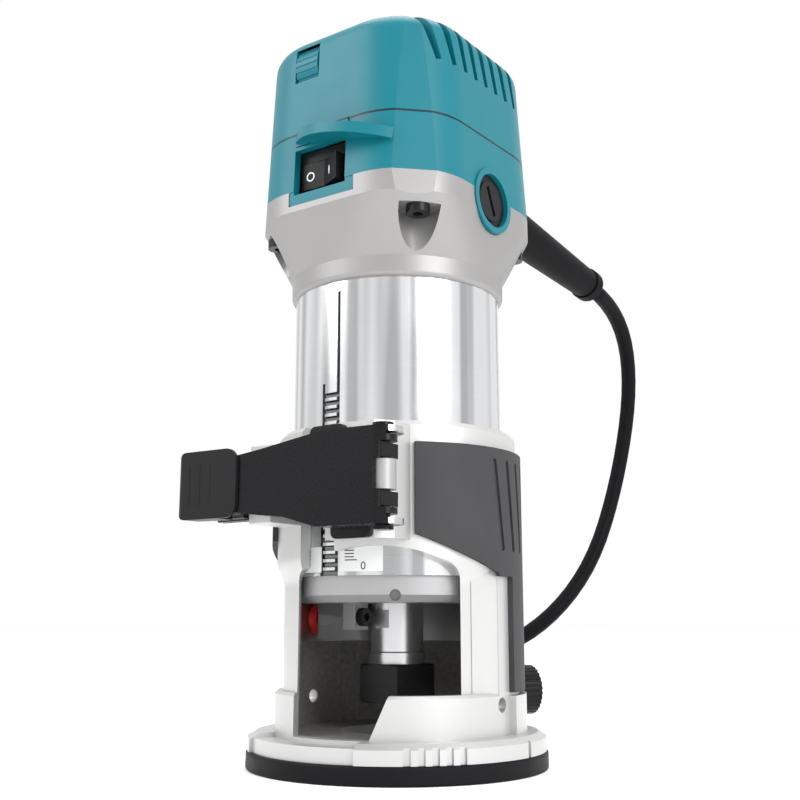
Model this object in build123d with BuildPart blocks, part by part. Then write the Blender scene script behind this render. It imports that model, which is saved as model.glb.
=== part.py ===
from build123d import *
from math import atan, cos, degrees, pi, radians, sin, tan
import os

# A corded trim router standing on its base, in millimetres.
# The spindle axis is Z, the plate's underside is z = 0, and the switch face looks along -Y.
# Angles round the axis ("bearings") are counted from -Y towards +X.

# ---- Driving dimensions ----
BARREL_D = 65.0
BARREL_WALL = 2.5
BARREL_BOTTOM, BARREL_TOP = 55.0, 142.1
BASE_D = 90.0
PLATE_T = 5.2
BIT_OPENING_D = 30.0
SLEEVE_R = 36.8
SLEEVE_TOP = 98.5
FIT = 0.05  # radial running clearance
CORD_D = 6.2
COIL_TURN_R = 34.1
COLLET_BORE_D = 6.0
NUT_AF = 22.0

# ---- Barrel and base ----
BARREL_R = BARREL_D / 2
BARREL_IN_R = BARREL_R - BARREL_WALL
BORE_R = BARREL_R + FIT
CAST_R = 33.0
BORE_BOTTOM = 36.0
FLANGE_R, FLANGE_TOP = 44.5, 10.6
WALL_R = 34.4
SKIRT_TOP = 22.3
FLOOR_OPENING_R = 17.0
WINDOW_BEARING, WINDOW_HALF = 23.5, 23.7
SLIT_X = (-8.4, 4.6)
PLATE_SCREW_CIRCLE = 35.0
GUIDE_HOLE_R, GUIDE_HOLE_Z = 2.1, 19.0
GRIP_R = 38.5
GRIP_SPAN = (43.5, 158.0)
GRIP_STRIP = (97.0, 130.0)
THUMB_BEARING, THUMB_Z = 150.0, 21.0

# ---- Rack and pinion ----
MODULE = 0.75
PINION_TEETH = 12
ADDENDUM = 0.65 * MODULE
TIP_GAP = 0.12
BACKLASH = 0.10
PRESSURE = radians(20)
PITCH_R = MODULE * PINION_TEETH / 2
RACK_PITCH_Y = -(BARREL_R - ADDENDUM)
PINION_Y, PINION_Z = RACK_PITCH_Y - PITCH_R, 80.5
RACK_X = (-2.9, 1.6)
GROOVE_X = 2.7
RACK_TOP = 111.3
SHAFT_R = 2.5

# ---- Clamp ----
PIN_X, PIN_Y = 28.0, -45.0
PIN_R = 2.0
BOLT_R = 2.5
LUG_Z = (69.5, 91.5)
LEVER_Z = (67.2, 93.2)

# ---- Cap: rounded outline with four corner facets, drafted inwards as it rises ----
CAP_HALF_X, CAP_HALF_Y, CAP_CORNER = 36.4, 38.9, 23.0
FACET_DISTANCE = 42.7
CAP_JOINT, CAP_SPLIT, CAP_TOP = 171.5, 190.4, 224.0
DRAFT = 2.6
RING_R = 33.9
SCREW_RADIUS = 38.4
BRUSH_Z = 170.0

# ---- Motor ----
SPINDLE_R = 8.0
LOWER_BEARING = (7.5, 16.0, 51.0, 60.0)  # bore, outside, bottom, top
UPPER_BEARING = (4.0, 11.0, 189.0, 196.0)
CORE_Z = (80.0, 125.0)
LOCK_Z = 43.0

# ---- Cord ----
GUARD_START = (14.0, 37.0, 182.0)
CLAMP_PLACE = (8.0, 25.0)
GUARD_END = (15.6, 110.0, 173.4)
COIL_CENTRE = (-58.0, 86.0)
COIL_HALF_WIDTH = 9.3
COIL_HEIGHT = 24.8
CORD_ROUTE = [
    GUARD_END,
    (16.13, 134.0, 170.57),
    (10.0, 160.0, 146.0),
    (0.0, 164.0, 103.0),
    (-9.0, 151.0, 62.0),
    (-27.0, 130.0, 35.0),
    (-54.0, 120.1, 27.9),
]
PLUG_HEADING = 150.0  # direction the plug points in, from +X towards +Y

os.makedirs("parts", exist_ok=True)


def save(builder, name):
    """Label a finished piece and write it as its own STEP file."""
    part = builder.part
    part.label = name
    export_step(part, f"parts/{name}.step")


def polar(radius, bearing):
    """Point at a radius and bearing round the spindle axis."""
    return (radius * sin(radians(bearing)), -radius * cos(radians(bearing)))


def radial_plane(bearing, radius=0.0, height=0.0):
    """Plane whose X runs round the axis, whose Y is up and whose normal points outwards."""
    b = radians(bearing)
    x, y = polar(radius, bearing)
    return Plane(origin=(x, y, height), x_dir=(cos(b), sin(b), 0), z_dir=(sin(b), -cos(b), 0))


def sector(inner, outer, start, end):
    """Ring sector face between two bearings, in the current sketch."""
    with BuildLine() as outline:
        CenterArc((0, 0), outer, start - 90, end - start)
        CenterArc((0, 0), inner, start - 90, end - start)
        for bearing in (start, end):
            Line(polar(inner, bearing), polar(outer, bearing))
    make_face(outline.edges())


def ring(inner, outer, bottom, height):
    """Plain ring about the spindle axis, added to the current part."""
    with BuildSketch(Plane.XY.offset(bottom)) as profile:
        Circle(outer)
        Circle(inner, mode=Mode.SUBTRACT)
    extrude(profile.sketch, amount=height)


def outline_half(z):
    """Half sizes of the cap's outline at a height."""
    inset = (z - CAP_JOINT) * tan(radians(DRAFT))
    return CAP_HALF_X - inset, CAP_HALF_Y - inset


def cap_sketch(z, wall=0.0):
    """Cap outline at a height, moved inwards by a wall."""
    half_x, half_y = outline_half(z)
    RectangleRounded(2 * (half_x - wall), 2 * (half_y - wall), CAP_CORNER - wall)


def cap_prism(bottom, top, wall=0.0):
    """Drafted prism of the cap's outline between two heights."""
    with BuildPart() as prism:
        for z in (bottom, top):
            with BuildSketch(Plane.XY.offset(z)):
                cap_sketch(z, wall)
        loft()
    return prism.part


def corner_facets(bottom, top):
    """Drafted diamond prism that trims the four corners to flat facets."""
    half = FACET_DISTANCE - (bottom - CAP_JOINT) * tan(radians(DRAFT))
    with BuildPart() as diamond:
        with BuildSketch(Plane.XY.offset(bottom)):
            Rectangle(2 * half, 2 * half, rotation=45)
        extrude(amount=top - bottom, taper=DRAFT)
    return diamond.part


# ---------------------------------------------------------------- base


def make_base_plate():
    with BuildPart() as base_plate:
        with BuildSketch():
            Circle(BASE_D / 2)
            Circle(BIT_OPENING_D / 2, mode=Mode.SUBTRACT)
        extrude(amount=PLATE_T)
        rim = base_plate.edges().filter_by(GeomType.CIRCLE).sort_by(SortBy.RADIUS)[-2:]
        fillet(rim, 0.8)
        with Locations(Plane(origin=(0, 0, 0), z_dir=(0, 0, -1))):
            with PolarLocations(PLATE_SCREW_CIRCLE, 4, start_angle=45):
                CounterSinkHole(2.1, 4.2, depth=PLATE_T)
    save(base_plate, "base_plate")


def make_plate_screws():
    with BuildPart() as plate_screws:
        with BuildSketch(Plane.XZ) as profile:
            with BuildLine():
                Polyline((0, 1.2), (1.2, 1.2), (1.2, 0.4), (3.65, 0.4), (2.0, 2.3), (2.0, 9.6), (0, 9.6))
                Line((0, 9.6), (0, 1.2))
            make_face()
        revolve(axis=Axis.Z, mode=Mode.PRIVATE)
        screw = revolve(profile.sketch, axis=Axis.Z, mode=Mode.PRIVATE)
        with PolarLocations(PLATE_SCREW_CIRCLE, 4, start_angle=45):
            add(screw)
    save(plate_screws, "plate_screws")


def wall_profile():
    """Half section of the base casting's wall, sleeve and flange."""
    with BuildPart() as wall:
        with BuildSketch(Plane.XZ):
            with BuildLine():
                Polyline(
                    (FLOOR_OPENING_R, PLATE_T),
                    (FLANGE_R, PLATE_T),
                    (FLANGE_R, 9.2),
                    (FLANGE_R - 2.4, FLANGE_TOP),
                    (SLEEVE_R, FLANGE_TOP),
                    (SLEEVE_R, SKIRT_TOP - 0.8),
                    (SLEEVE_R - 0.8, SKIRT_TOP),
                    (WALL_R, SKIRT_TOP),
                    (WALL_R, 52.0),
                )
                Spline((WALL_R, 52.0), (SLEEVE_R, 60.5), tangents=[(0, 1), (0, 1)])
                Polyline(
                    (SLEEVE_R, 60.5),
                    (SLEEVE_R, SLEEVE_TOP - 1.5),
                    (SLEEVE_R - 1.5, SLEEVE_TOP),
                    (BORE_R, SLEEVE_TOP),
                    (BORE_R, BORE_BOTTOM),
                    (CAST_R, BORE_BOTTOM),
                    (CAST_R, FLANGE_TOP),
                    (FLOOR_OPENING_R, FLANGE_TOP),
                    (FLOOR_OPENING_R, PLATE_T),
                )
            make_face()
        revolve(axis=Axis.Z)
    return wall.part


def side_legs():
    """Thick leg on each side, under the grip strips, with its foot."""
    with BuildPart() as legs:
        for side in (1, -1):
            with BuildSketch(Plane.XY.offset(FLANGE_TOP - 0.5)):
                with BuildLine():
                    Line((side * 33.1, -10.0), (side * 36.4, -1.5))
                    start, end = (-2.2, 40) if side > 0 else (182.2, -40)
                    arc = CenterArc((0, 0), 36.8, start, end)
                    Line((side * 36.4, -1.5), arc @ 0)
                    Line(arc @ 1, (side * 26.0, 20.5))
                    Line((side * 26.0, 20.5), (side * 33.1, -10.0))
                make_face()
            extrude(amount=60.5 - FLANGE_TOP)
            with BuildSketch(Plane.XY.offset(FLANGE_TOP - 0.5)):
                span = GRIP_STRIP if side > 0 else (-GRIP_STRIP[1], -GRIP_STRIP[0])
                sector(34.0, GRIP_R + 0.4, *span)
            extrude(amount=SKIRT_TOP - FLANGE_TOP - 0.4)
    return legs.part


def clamp_lugs():
    """Lug left of the slit for the bolt and pinion shaft, and lug right of it for the bracket."""
    with BuildPart() as lugs:
        with BuildSketch(Plane.XY.offset(LUG_Z[0])):
            with BuildLine():
                Polyline(
                    (SLIT_X[0], -30), (SLIT_X[0], -49),
                    (-16.5, -49), (-18.5, -46.5), (-18.5, -30),
                    close=True,
                )
            make_face()
        extrude(amount=LUG_Z[1] - LUG_Z[0])
        with BuildSketch(Plane.XY.offset(64.5)):
            with BuildLine():
                Polyline(
                    (SLIT_X[1], -30), (SLIT_X[1], -40.5),
                    (21.5, -40.5), (24.5, -35), (24.5, -24),
                    close=True,
                )
            make_face()
        extrude(amount=97.0 - 64.5)
    return lugs.part


def window_cut():
    """Front window, arched at the top, with the low wall left standing on its right."""
    with BuildPart() as window:
        half = WINDOW_HALF
        with BuildSketch(radial_plane(WINDOW_BEARING, 12.0)) as opening:
            with BuildLine():
                Polyline((-half, 10.6), (0.3, 10.6), (5.5, SKIRT_TOP), (half, SKIRT_TOP), (half, 57.5))
                ThreePointArc((half, 57.5), (1.0, 63.2), (-half, 55.5))
                Line((-half, 55.5), (-half, 10.6))
            make_face()
            corners = opening.vertices().group_by(Axis.Y)
            fillet(corners[-1] + corners[-2], 4.5)
        extrude(amount=40)
    return window.part


def flange_cuts():
    """Set-back front of the flange, the gaps between the grip ribs and the rim notch."""
    with BuildPart() as cuts:
        with BuildSketch(Plane.XY.offset(PLATE_T)):
            sector(43.4, 47.0, -38, 21)
        extrude(amount=8)
        with BuildSketch(Plane.XY.offset(9.4)):
            sector(36.9, 47.0, -38, 21)
        extrude(amount=4)
        for bearing in range(38, 63, 5):
            with BuildSketch(Plane.XY.offset(PLATE_T)):
                sector(43.7, 47.0, bearing, bearing + 2.6)
            extrude(amount=8)
        with BuildSketch(Plane.XY.offset(PLATE_T)):
            sector(43.6, 47.0, 91, 93)
        extrude(amount=8)
    return cuts.part


def casting_holes():
    """Pinion shaft, draw bolt, plate screws, guide holes and the thumb screw's thread."""
    with BuildPart() as holes:
        with BuildSketch(Plane.YZ.offset(-30)):
            with Locations((PINION_Y, PINION_Z)):
                Circle(3.5)
        extrude(amount=30 + SLIT_X[0] + 1)
        with BuildSketch(Plane.YZ.offset(2)):
            with Locations((PINION_Y, PINION_Z)):
                Circle(SHAFT_R + FIT)
        extrude(amount=10.5)
        with BuildSketch(Plane.YZ.offset(-30)):
            with Locations((PIN_Y, PINION_Z)):
                Circle(BOLT_R + 0.15)
        extrude(amount=30)
        with BuildSketch(Plane.XY.offset(PLATE_T)):
            with PolarLocations(PLATE_SCREW_CIRCLE, 4, start_angle=45):
                Circle(2.02)
        extrude(amount=4.6)
        for bearing in (90, -90):
            with BuildSketch(radial_plane(bearing, 30.0, GUIDE_HOLE_Z)):
                Circle(GUIDE_HOLE_R)
            extrude(amount=12)
        with BuildSketch(radial_plane(THUMB_BEARING, 30.0, THUMB_Z)):
            Circle(2.5 + FIT)
        extrude(amount=14)
    return holes.part


def make_base_casting():
    with BuildPart() as base_casting:
        add(wall_profile())
        add(side_legs())
        with BuildSketch(radial_plane(THUMB_BEARING, 33.2, THUMB_Z)):
            Circle(6.5)
        extrude(amount=5.8)
        add(clamp_lugs())
        with BuildSketch(Plane.XY.offset(BORE_BOTTOM)):
            Circle(BORE_R)
        extrude(amount=70, mode=Mode.SUBTRACT)
        with BuildSketch(Plane.XY.offset(FLANGE_TOP)):
            Circle(CAST_R)
        extrude(amount=BORE_BOTTOM - FLANGE_TOP, mode=Mode.SUBTRACT)
        add(window_cut(), mode=Mode.SUBTRACT)
        with BuildSketch(Plane.XY.offset(50)):
            with Locations(((SLIT_X[0] + SLIT_X[1]) / 2, -35)):
                Rectangle(SLIT_X[1] - SLIT_X[0], 30)
        extrude(amount=60, mode=Mode.SUBTRACT)
        for bearing in (-111, -120, 111, 120):
            with BuildSketch(Plane.XY.offset(FLANGE_TOP)):
                sector(32.65, 33.4, bearing - 1.1, bearing + 1.1)
            extrude(amount=BORE_BOTTOM - FLANGE_TOP)
        add(flange_cuts(), mode=Mode.SUBTRACT)
        add(casting_holes(), mode=Mode.SUBTRACT)
    save(base_casting, "base_casting")


def grip_panel(side):
    """Rubber panel on one side of the sleeve, with its strip down the leg and its grooves."""
    with BuildPart() as grip:
        with BuildSketch(Plane.XY.offset(55)):
            sector(SLEEVE_R + 0.02, GRIP_R, *GRIP_SPAN)
        extrude(amount=37)
        with BuildSketch(Plane.XY.offset(SKIRT_TOP)):
            sector(SLEEVE_R + 0.02, GRIP_R, *GRIP_STRIP)
        extrude(amount=60 - SKIRT_TOP)
        middle = 64.75
        with BuildSketch(radial_plane(middle)):
            with BuildLine():
                Polyline((-20, 50), (16.5, 50), (13.5, 56), (-13, 66), (-20, 67), close=True)
            make_face()
        extrude(amount=60, mode=Mode.SUBTRACT)
        for index in range(4):
            plane = radial_plane(86 + 10.0 * index, GRIP_R - 0.7, 75.5)
            with BuildSketch(plane):
                SlotOverall(27, 1.9, rotation=-82)
            extrude(amount=3, mode=Mode.SUBTRACT)
    if side > 0:
        save(grip, "right_grip")
        return
    with BuildPart() as mirrored:
        mirror(grip.part, about=Plane.YZ)
    save(mirrored, "left_grip")


def make_thumb_screw():
    """Knurled thumb screw for a guide, at the right rear of the skirt."""
    with BuildPart() as thumb_screw:
        with BuildSketch(radial_plane(THUMB_BEARING, 33.4, THUMB_Z)):
            Circle(2.5)
        extrude(amount=7)
        with BuildSketch(radial_plane(THUMB_BEARING, 39.6, THUMB_Z)):
            Circle(7.6)
            with PolarLocations(7.6, 30):
                Circle(0.35, mode=Mode.SUBTRACT)
        extrude(amount=7)
        with BuildSketch(radial_plane(THUMB_BEARING, 46.6, THUMB_Z)):
            Circle(6.0)
        extrude(amount=0.8, taper=30)
    save(thumb_screw, "guide_thumb_screw")


# ---------------------------------------------------------------- clamp and height drive


def make_clamp_bracket():
    """Pressed bracket on the right lug, with an ear above and below the bolt's eye."""
    with BuildPart() as clamp_bracket:
        with BuildSketch(Plane.XZ.offset(40.5)):
            with Locations((14.6, 79.0)):
                RectangleRounded(13.8, 29.0, 2.0)
            with Locations((6.0, 88.4)):
                RectangleRounded(12.6, 16.4, 2.0)
        extrude(amount=1.6)
        for z in (70.0, 89.4):
            with BuildSketch(Plane.XY.offset(z)):
                with BuildLine():
                    Polyline((PIN_X, PIN_Y), (PIN_X, -40.5), (14, -40.5), (14, -42.1), (PIN_X, PIN_Y - 3.9))
                    Line((PIN_X, PIN_Y - 3.9), (PIN_X, PIN_Y))
                make_face()
                with Locations((PIN_X, PIN_Y)):
                    Circle(3.9)
                    Circle(PIN_R + 0.03, mode=Mode.SUBTRACT)
            extrude(amount=1.7)
        with BuildSketch(Plane.YZ.offset(12)):
            with Locations((PIN_Y, PINION_Z)):
                Circle(3.4)
        extrude(amount=30, mode=Mode.SUBTRACT)
        with BuildSketch(Plane.XZ.offset(40)):
            with Locations((0.5, PINION_Z)):
                Rectangle(5.0, 12.0)
        extrude(amount=4, mode=Mode.SUBTRACT)
    save(clamp_bracket, "clamp_bracket")


def make_hinge_pin():
    with BuildPart() as hinge_pin:
        with BuildSketch(Plane.XY.offset(LEVER_Z[0] - 0.5)):
            with Locations((PIN_X, PIN_Y)):
                Circle(PIN_R)
        extrude(amount=LEVER_Z[1] - LEVER_Z[0] + 1.0)
        for z in (LEVER_Z[0] - 1.3, LEVER_Z[1] + 0.2):
            with BuildSketch(Plane.XY.offset(z)):
                with Locations((PIN_X, PIN_Y)):
                    Circle(2.9)
            extrude(amount=1.1)
    save(hinge_pin, "hinge_pin")


def make_draw_bolt():
    """Eye bolt that closes the sleeve, from the hinge pin to the nut on the left lug."""
    with BuildPart() as draw_bolt:
        with BuildSketch(Plane.XY.offset(PINION_Z - 4)):
            with Locations((PIN_X, PIN_Y)):
                Circle(3.6)
                Circle(PIN_R + 0.03, mode=Mode.SUBTRACT)
        extrude(amount=8)
        with BuildSketch(Plane.YZ.offset(-25)):
            with Locations((PIN_Y, PINION_Z)):
                Circle(BOLT_R)
        extrude(amount=25 + PIN_X - 2.6)
    save(draw_bolt, "draw_bolt")


def make_clamp_nut():
    with BuildPart() as clamp_nut:
        with BuildSketch(Plane.YZ.offset(-23.3)):
            with Locations((PIN_Y, PINION_Z)):
                RegularPolygon(4.0, 6, major_radius=False)
                Circle(BOLT_R + 0.02, mode=Mode.SUBTRACT)
        extrude(amount=4.0)
        with BuildSketch(Plane.YZ.offset(-19.3)):
            with Locations((PIN_Y, PINION_Z)):
                Circle(4.4)
                Circle(BOLT_R + 0.02, mode=Mode.SUBTRACT)
        extrude(amount=0.8)
    save(clamp_nut, "clamp_nut")


def lever_plan():
    """Plan of the lever's channel: the web's face, and the round end about the pin."""
    with BuildLine() as outline:
        Polyline(
            (PIN_X, PIN_Y - 5.6),
            (-20.0, -53.6),
            (-24.0, -53.9),
            (-24.0, -49.6),
            (-7.4, -49.15),
            (-7.2, -44.0),
            (PIN_X, -42.6),
            (PIN_X, PIN_Y - 5.6),
        )
    make_face(outline.edges())
    with Locations((PIN_X, PIN_Y)):
        Circle(5.6)


def lever_front(inset, depth):
    """Block of the lever's front outline: wide at the hinge, narrowing to the neck."""
    low, high = LEVER_Z[0] + inset, LEVER_Z[1] - inset
    with BuildPart() as block:
        with BuildSketch(Plane.XZ.offset(25)):
            with BuildLine():
                Polyline((40, low), (10, low), (-1, 70.4 + inset), (-9, 71.2 + inset), (-26, 73.4 + inset))
                Line((-26, 73.4 + inset), (-26, 87.6 - inset))
                Polyline((-26, 87.6 - inset), (-9, 89.8 - inset), (12, high), (40, high))
                Line((40, high), (40, low))
            make_face()
        extrude(amount=depth)
    return block.part


def lever_hollow():
    """Space inside the lever's channel, open towards the router."""
    with BuildPart() as hollow:
        with BuildSketch(Plane.XY.offset(60)):
            with BuildLine():
                Polyline(
                    (40, PIN_Y - 4.0),
                    (PIN_X, PIN_Y - 4.0),
                    (-20.0, -52.0),
                    (-30.0, -52.5),
                    (-30.0, -30),
                    (40, -30),
                    close=True,
                )
            make_face()
        extrude(amount=50)
        add(lever_front(1.6, 40), mode=Mode.INTERSECT)
    return hollow.part


def make_clamp_lever():
    """Pressed steel channel with cam lobes, hinged on the pin."""
    with BuildPart() as clamp_lever:
        with BuildSketch(Plane.XY.offset(LEVER_Z[0])):
            lever_plan()
        extrude(amount=LEVER_Z[1] - LEVER_Z[0])
        add(lever_front(0.0, 40), mode=Mode.INTERSECT)
        add(lever_hollow(), mode=Mode.SUBTRACT)
        for z in (72.1, 85.0):
            with BuildSketch(Plane.XY.offset(z)):
                with Locations((PIN_X, PIN_Y)):
                    Circle(4.4)
                with BuildLine():
                    Polyline((PIN_X, PIN_Y), (PIN_X, PIN_Y - 5.0), (12, -50.0), (12, -48), close=True)
                make_face()
            extrude(amount=3.9)
        with BuildSketch(Plane.XY.offset(60)):
            with Locations((PIN_X, PIN_Y)):
                Circle(PIN_R + FIT)
        extrude(amount=40, mode=Mode.SUBTRACT)
        with BuildSketch(Plane.XZ.offset(38)):
            with Locations((PIN_X + 4.6, 80.3)):
                Rectangle(8.0, 8.6)
            with Locations((PIN_X + 6.2, 80.3)):
                Rectangle(8.0, 17.6)
        extrude(amount=14, mode=Mode.SUBTRACT)
    save(clamp_lever, "clamp_lever")


def make_thumb_pad():
    """Plastic pad on the lever's free end, moulded round the neck of the channel."""
    with BuildPart() as thumb_pad:
        with BuildSketch(Plane.XY.offset(71.0)):
            with BuildLine():
                Polyline((-17.0, -54.4), (-24.0, -54.8), (-37.5, -55.4))
                ThreePointArc((-37.5, -55.4), (-40.2, -52.9), (-38.5, -50.0))
                Polyline((-38.5, -50.0), (-24.05, -48.0), (-24.05, -53.95), (-17.0, -53.42), (-17.0, -54.4))
            make_face()
        extrude(amount=19.8)
        with BuildSketch(Plane.XZ.offset(45)):
            with Locations((-28.6, 80.9)):
                RectangleRounded(23.2, 19.8, 4.0)
        extrude(amount=15, mode=Mode.INTERSECT)
    save(thumb_pad, "lever_thumb_pad")


def involute(base, angle):
    """Point of an involute of a base circle, unrolled by an angle."""
    return (base * (cos(angle) + angle * sin(angle)), base * (sin(angle) - angle * cos(angle)))


def tooth_angle(radius, base):
    """Unrolled angle and polar angle of the involute where it reaches a radius."""
    roll = ((radius / base) ** 2 - 1) ** 0.5
    x, y = involute(base, roll)
    return roll, atan(y / x)


def pinion_sketch():
    """Pinion profile with involute teeth, a tooth space towards the rack."""
    base = PITCH_R * cos(PRESSURE)
    root, tip = PITCH_R - ADDENDUM - TIP_GAP, PITCH_R + ADDENDUM
    half_tooth = pi / (2 * PINION_TEETH) - BACKLASH / (2 * PITCH_R)
    offset_angle = half_tooth + tooth_angle(PITCH_R, base)[1]
    Circle(root + 0.01)
    for index in range(PINION_TEETH):
        centre = 2 * pi * (index + 0.5) / PINION_TEETH
        flank = []
        for step in range(5):
            radius = base + (tip - base) * step / 4
            turn = tooth_angle(radius, base)[1] if step else 0.0
            flank.append((radius, offset_angle - turn))
        right = [(r * cos(centre - a), r * sin(centre - a)) for r, a in flank]
        left = [(r * cos(centre + a), r * sin(centre + a)) for r, a in flank]
        inner = 0.8 * root
        bearings = [centre + side * offset_angle for side in (-1, 1)]
        feet = [(inner * cos(bearing), inner * sin(bearing)) for bearing in bearings]
        with BuildLine() as tooth:
            Polyline(feet[0], *right)
            Line(right[-1], left[-1])
            Polyline(*reversed(left), feet[1])
            Line(feet[1], feet[0])
        make_face(tooth.edges())


def make_pinion():
    plane = Plane(origin=(RACK_X[0] - 0.4, PINION_Y, PINION_Z), x_dir=(0, 1, 0), z_dir=(1, 0, 0))
    with BuildPart() as pinion:
        with BuildSketch(plane):
            pinion_sketch()
            Circle(SHAFT_R, mode=Mode.SUBTRACT)
        extrude(amount=RACK_X[1] - RACK_X[0] + 0.8)
    save(pinion, "pinion")


def make_pinion_shaft():
    with BuildPart() as pinion_shaft:
        with BuildSketch(Plane.YZ.offset(-39.0)):
            with Locations((PINION_Y, PINION_Z)):
                Circle(SHAFT_R)
        extrude(amount=39.0 + 11.5)
    save(pinion_shaft, "pinion_shaft")


def make_pinion_bush():
    with BuildPart() as pinion_bush:
        with BuildSketch(Plane.YZ.offset(-20.0)):
            with Locations((PINION_Y, PINION_Z)):
                Circle(3.5)
                Circle(SHAFT_R + FIT, mode=Mode.SUBTRACT)
        extrude(amount=20.0 + SLIT_X[0])
    save(pinion_bush, "pinion_bush")


def make_height_knob():
    with BuildPart() as height_knob:
        with BuildSketch(Plane.YZ.offset(-40.5)):
            with Locations((PINION_Y, PINION_Z)):
                Circle(8.9)
                with PolarLocations(9.1, 24):
                    Circle(0.75, mode=Mode.SUBTRACT)
        extrude(amount=13.5)
        with BuildSketch(Plane.YZ.offset(-27.0)):
            with Locations((PINION_Y, PINION_Z)):
                Circle(5.0)
        extrude(amount=3.3)
        with BuildSketch(Plane.YZ.offset(-39.0)):
            with Locations((PINION_Y, PINION_Z)):
                Circle(SHAFT_R)
        extrude(amount=20, mode=Mode.SUBTRACT)
        front = height_knob.faces().sort_by(Axis.X)[0]
        chamfer(front.edges(), 0.6)
    save(height_knob, "height_knob")


# ---------------------------------------------------------------- motor barrel


def rack_cut():
    """Rack teeth spaces in the barrel's front, and the clearance groove beside them."""
    with BuildPart() as spaces:
        depth = ADDENDUM + TIP_GAP
        pitch = pi * MODULE
        slope = tan(PRESSURE)
        half_space = pitch / 4
        back, front = RACK_PITCH_Y + depth, RACK_PITCH_Y - ADDENDUM - 0.3
        count = int((RACK_TOP - BARREL_BOTTOM) / pitch)
        first = PINION_Z - int((PINION_Z - BARREL_BOTTOM) / pitch) * pitch + pitch / 2
        for index in range(count):
            z = first - pitch + index * pitch
            with BuildSketch(Plane.YZ.offset(RACK_X[0])):
                with BuildLine():
                    Polyline(
                        (back, z - half_space + depth * slope),
                        (back, z + half_space - depth * slope),
                        (front, z + half_space + (RACK_PITCH_Y - front) * slope),
                        (front, z - half_space - (RACK_PITCH_Y - front) * slope),
                        close=True,
                    )
                make_face()
            extrude(amount=GROOVE_X - RACK_X[0])
        with BuildSketch(Plane.XY.offset(BARREL_BOTTOM)):
            with Locations(((RACK_X[1] + GROOVE_X) / 2, -BARREL_R)):
                Rectangle(GROOVE_X - RACK_X[1], 2 * (BARREL_R + back))
        extrude(amount=BARREL_TOP - 3 - BARREL_BOTTOM)
        with BuildSketch(Plane.XY.offset(BARREL_BOTTOM)):
            with Locations((RACK_X[0] - 0.5, -BARREL_R)):
                Rectangle(1.0, 2 * (BARREL_R + back))
        extrude(amount=RACK_TOP - BARREL_BOTTOM)
    return spaces.part


def make_motor_barrel():
    with BuildPart() as motor_barrel:
        ring(BARREL_IN_R, BARREL_R, BARREL_BOTTOM, BARREL_TOP - BARREL_BOTTOM)
        add(rack_cut(), mode=Mode.SUBTRACT)
        for start, end in ((-23.5, -6.2), (5.4, 29.0)):
            with BuildSketch(Plane.XY.offset(56.0)):
                sector(BARREL_R - 0.2, BARREL_R + 1, start, end)
            extrude(amount=7.4, mode=Mode.SUBTRACT)
    save(motor_barrel, "motor_barrel")


def make_depth_scale():
    with BuildPart() as depth_scale:
        for start, end in ((-23.4, -6.3), (5.5, 28.9)):
            with BuildSketch(Plane.XY.offset(56.1)):
                sector(BARREL_R - 0.2, BARREL_R - 0.03, start, end)
            extrude(amount=7.2)
    save(depth_scale, "depth_scale")


def lock_housing():
    """Block under the bearing box for the shaft lock, with a ridged front."""
    with BuildPart() as housing:
        with BuildSketch(Plane.XY.offset(36.7)):
            with BuildLine():
                Polyline(
                    (-27.4, -5.2),
                    (-25.2, -7.4),
                    (-9.6, -8.2),
                    (-9.6, 8.2),
                    (-25.2, 7.4),
                    (-27.4, 5.2),
                    close=True,
                )
            make_face()
        extrude(amount=11.2)
        with BuildSketch(Plane.YZ.offset(-28)):
            with BuildLine():
                Polyline(
                    (-5.4, 36.7), (-8.2, 42.6), (-6.0, 48),
                    (6.0, 48), (8.2, 42.6), (5.4, 36.7),
                    close=True,
                )
            make_face()
        extrude(amount=19, mode=Mode.INTERSECT)
    return housing.part


def make_bearing_box():
    """Front bearing box: floor, bearing pocket, spigot into the barrel, and shaft-lock housing."""
    bore, outside, bottom, top = LOWER_BEARING
    with BuildPart() as bearing_box:
        with BuildSketch(Plane.XZ):
            with BuildLine():
                Polyline(
                    (SPINDLE_R + 0.6, 47.6),
                    (28.8, 47.6),
                    (31.2, 49.6),
                    (31.2, BARREL_BOTTOM),
                    (BARREL_IN_R - 0.02, BARREL_BOTTOM),
                    (BARREL_IN_R - 0.02, 63.0),
                    (27.2, 63.0),
                    (27.2, bottom),
                    (20.0, bottom),
                    (20.0, top),
                    (outside, top),
                    (outside, bottom),
                    (SPINDLE_R + 0.6, bottom),
                    close=True,
                )
            make_face()
        revolve(axis=Axis.Z)
        add(lock_housing())
        for start, radius, depth in ((-32, 5.7, 7.8), (-24.5, 4.5, 8.0), (-20, 2.05, 12)):
            with BuildSketch(Plane.YZ.offset(start)):
                with Locations((0, LOCK_Z)):
                    Circle(radius)
            extrude(amount=depth, mode=Mode.SUBTRACT)
        with BuildSketch(Plane.XZ.offset(8.0)):
            with Locations((-7.4, 44.0)):
                Rectangle(4.6, 8.4)
        extrude(amount=6.4)
        with BuildSketch(Plane.YZ.offset(-9.7)):
            with Locations((-11.5, 43.5)):
                Circle(1.55)
        extrude(amount=7, mode=Mode.SUBTRACT)
        with BuildSketch(radial_plane(35, 27, 49.5)):
            Circle(1.6)
        extrude(amount=6, mode=Mode.SUBTRACT)
    save(bearing_box, "bearing_box")


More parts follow.
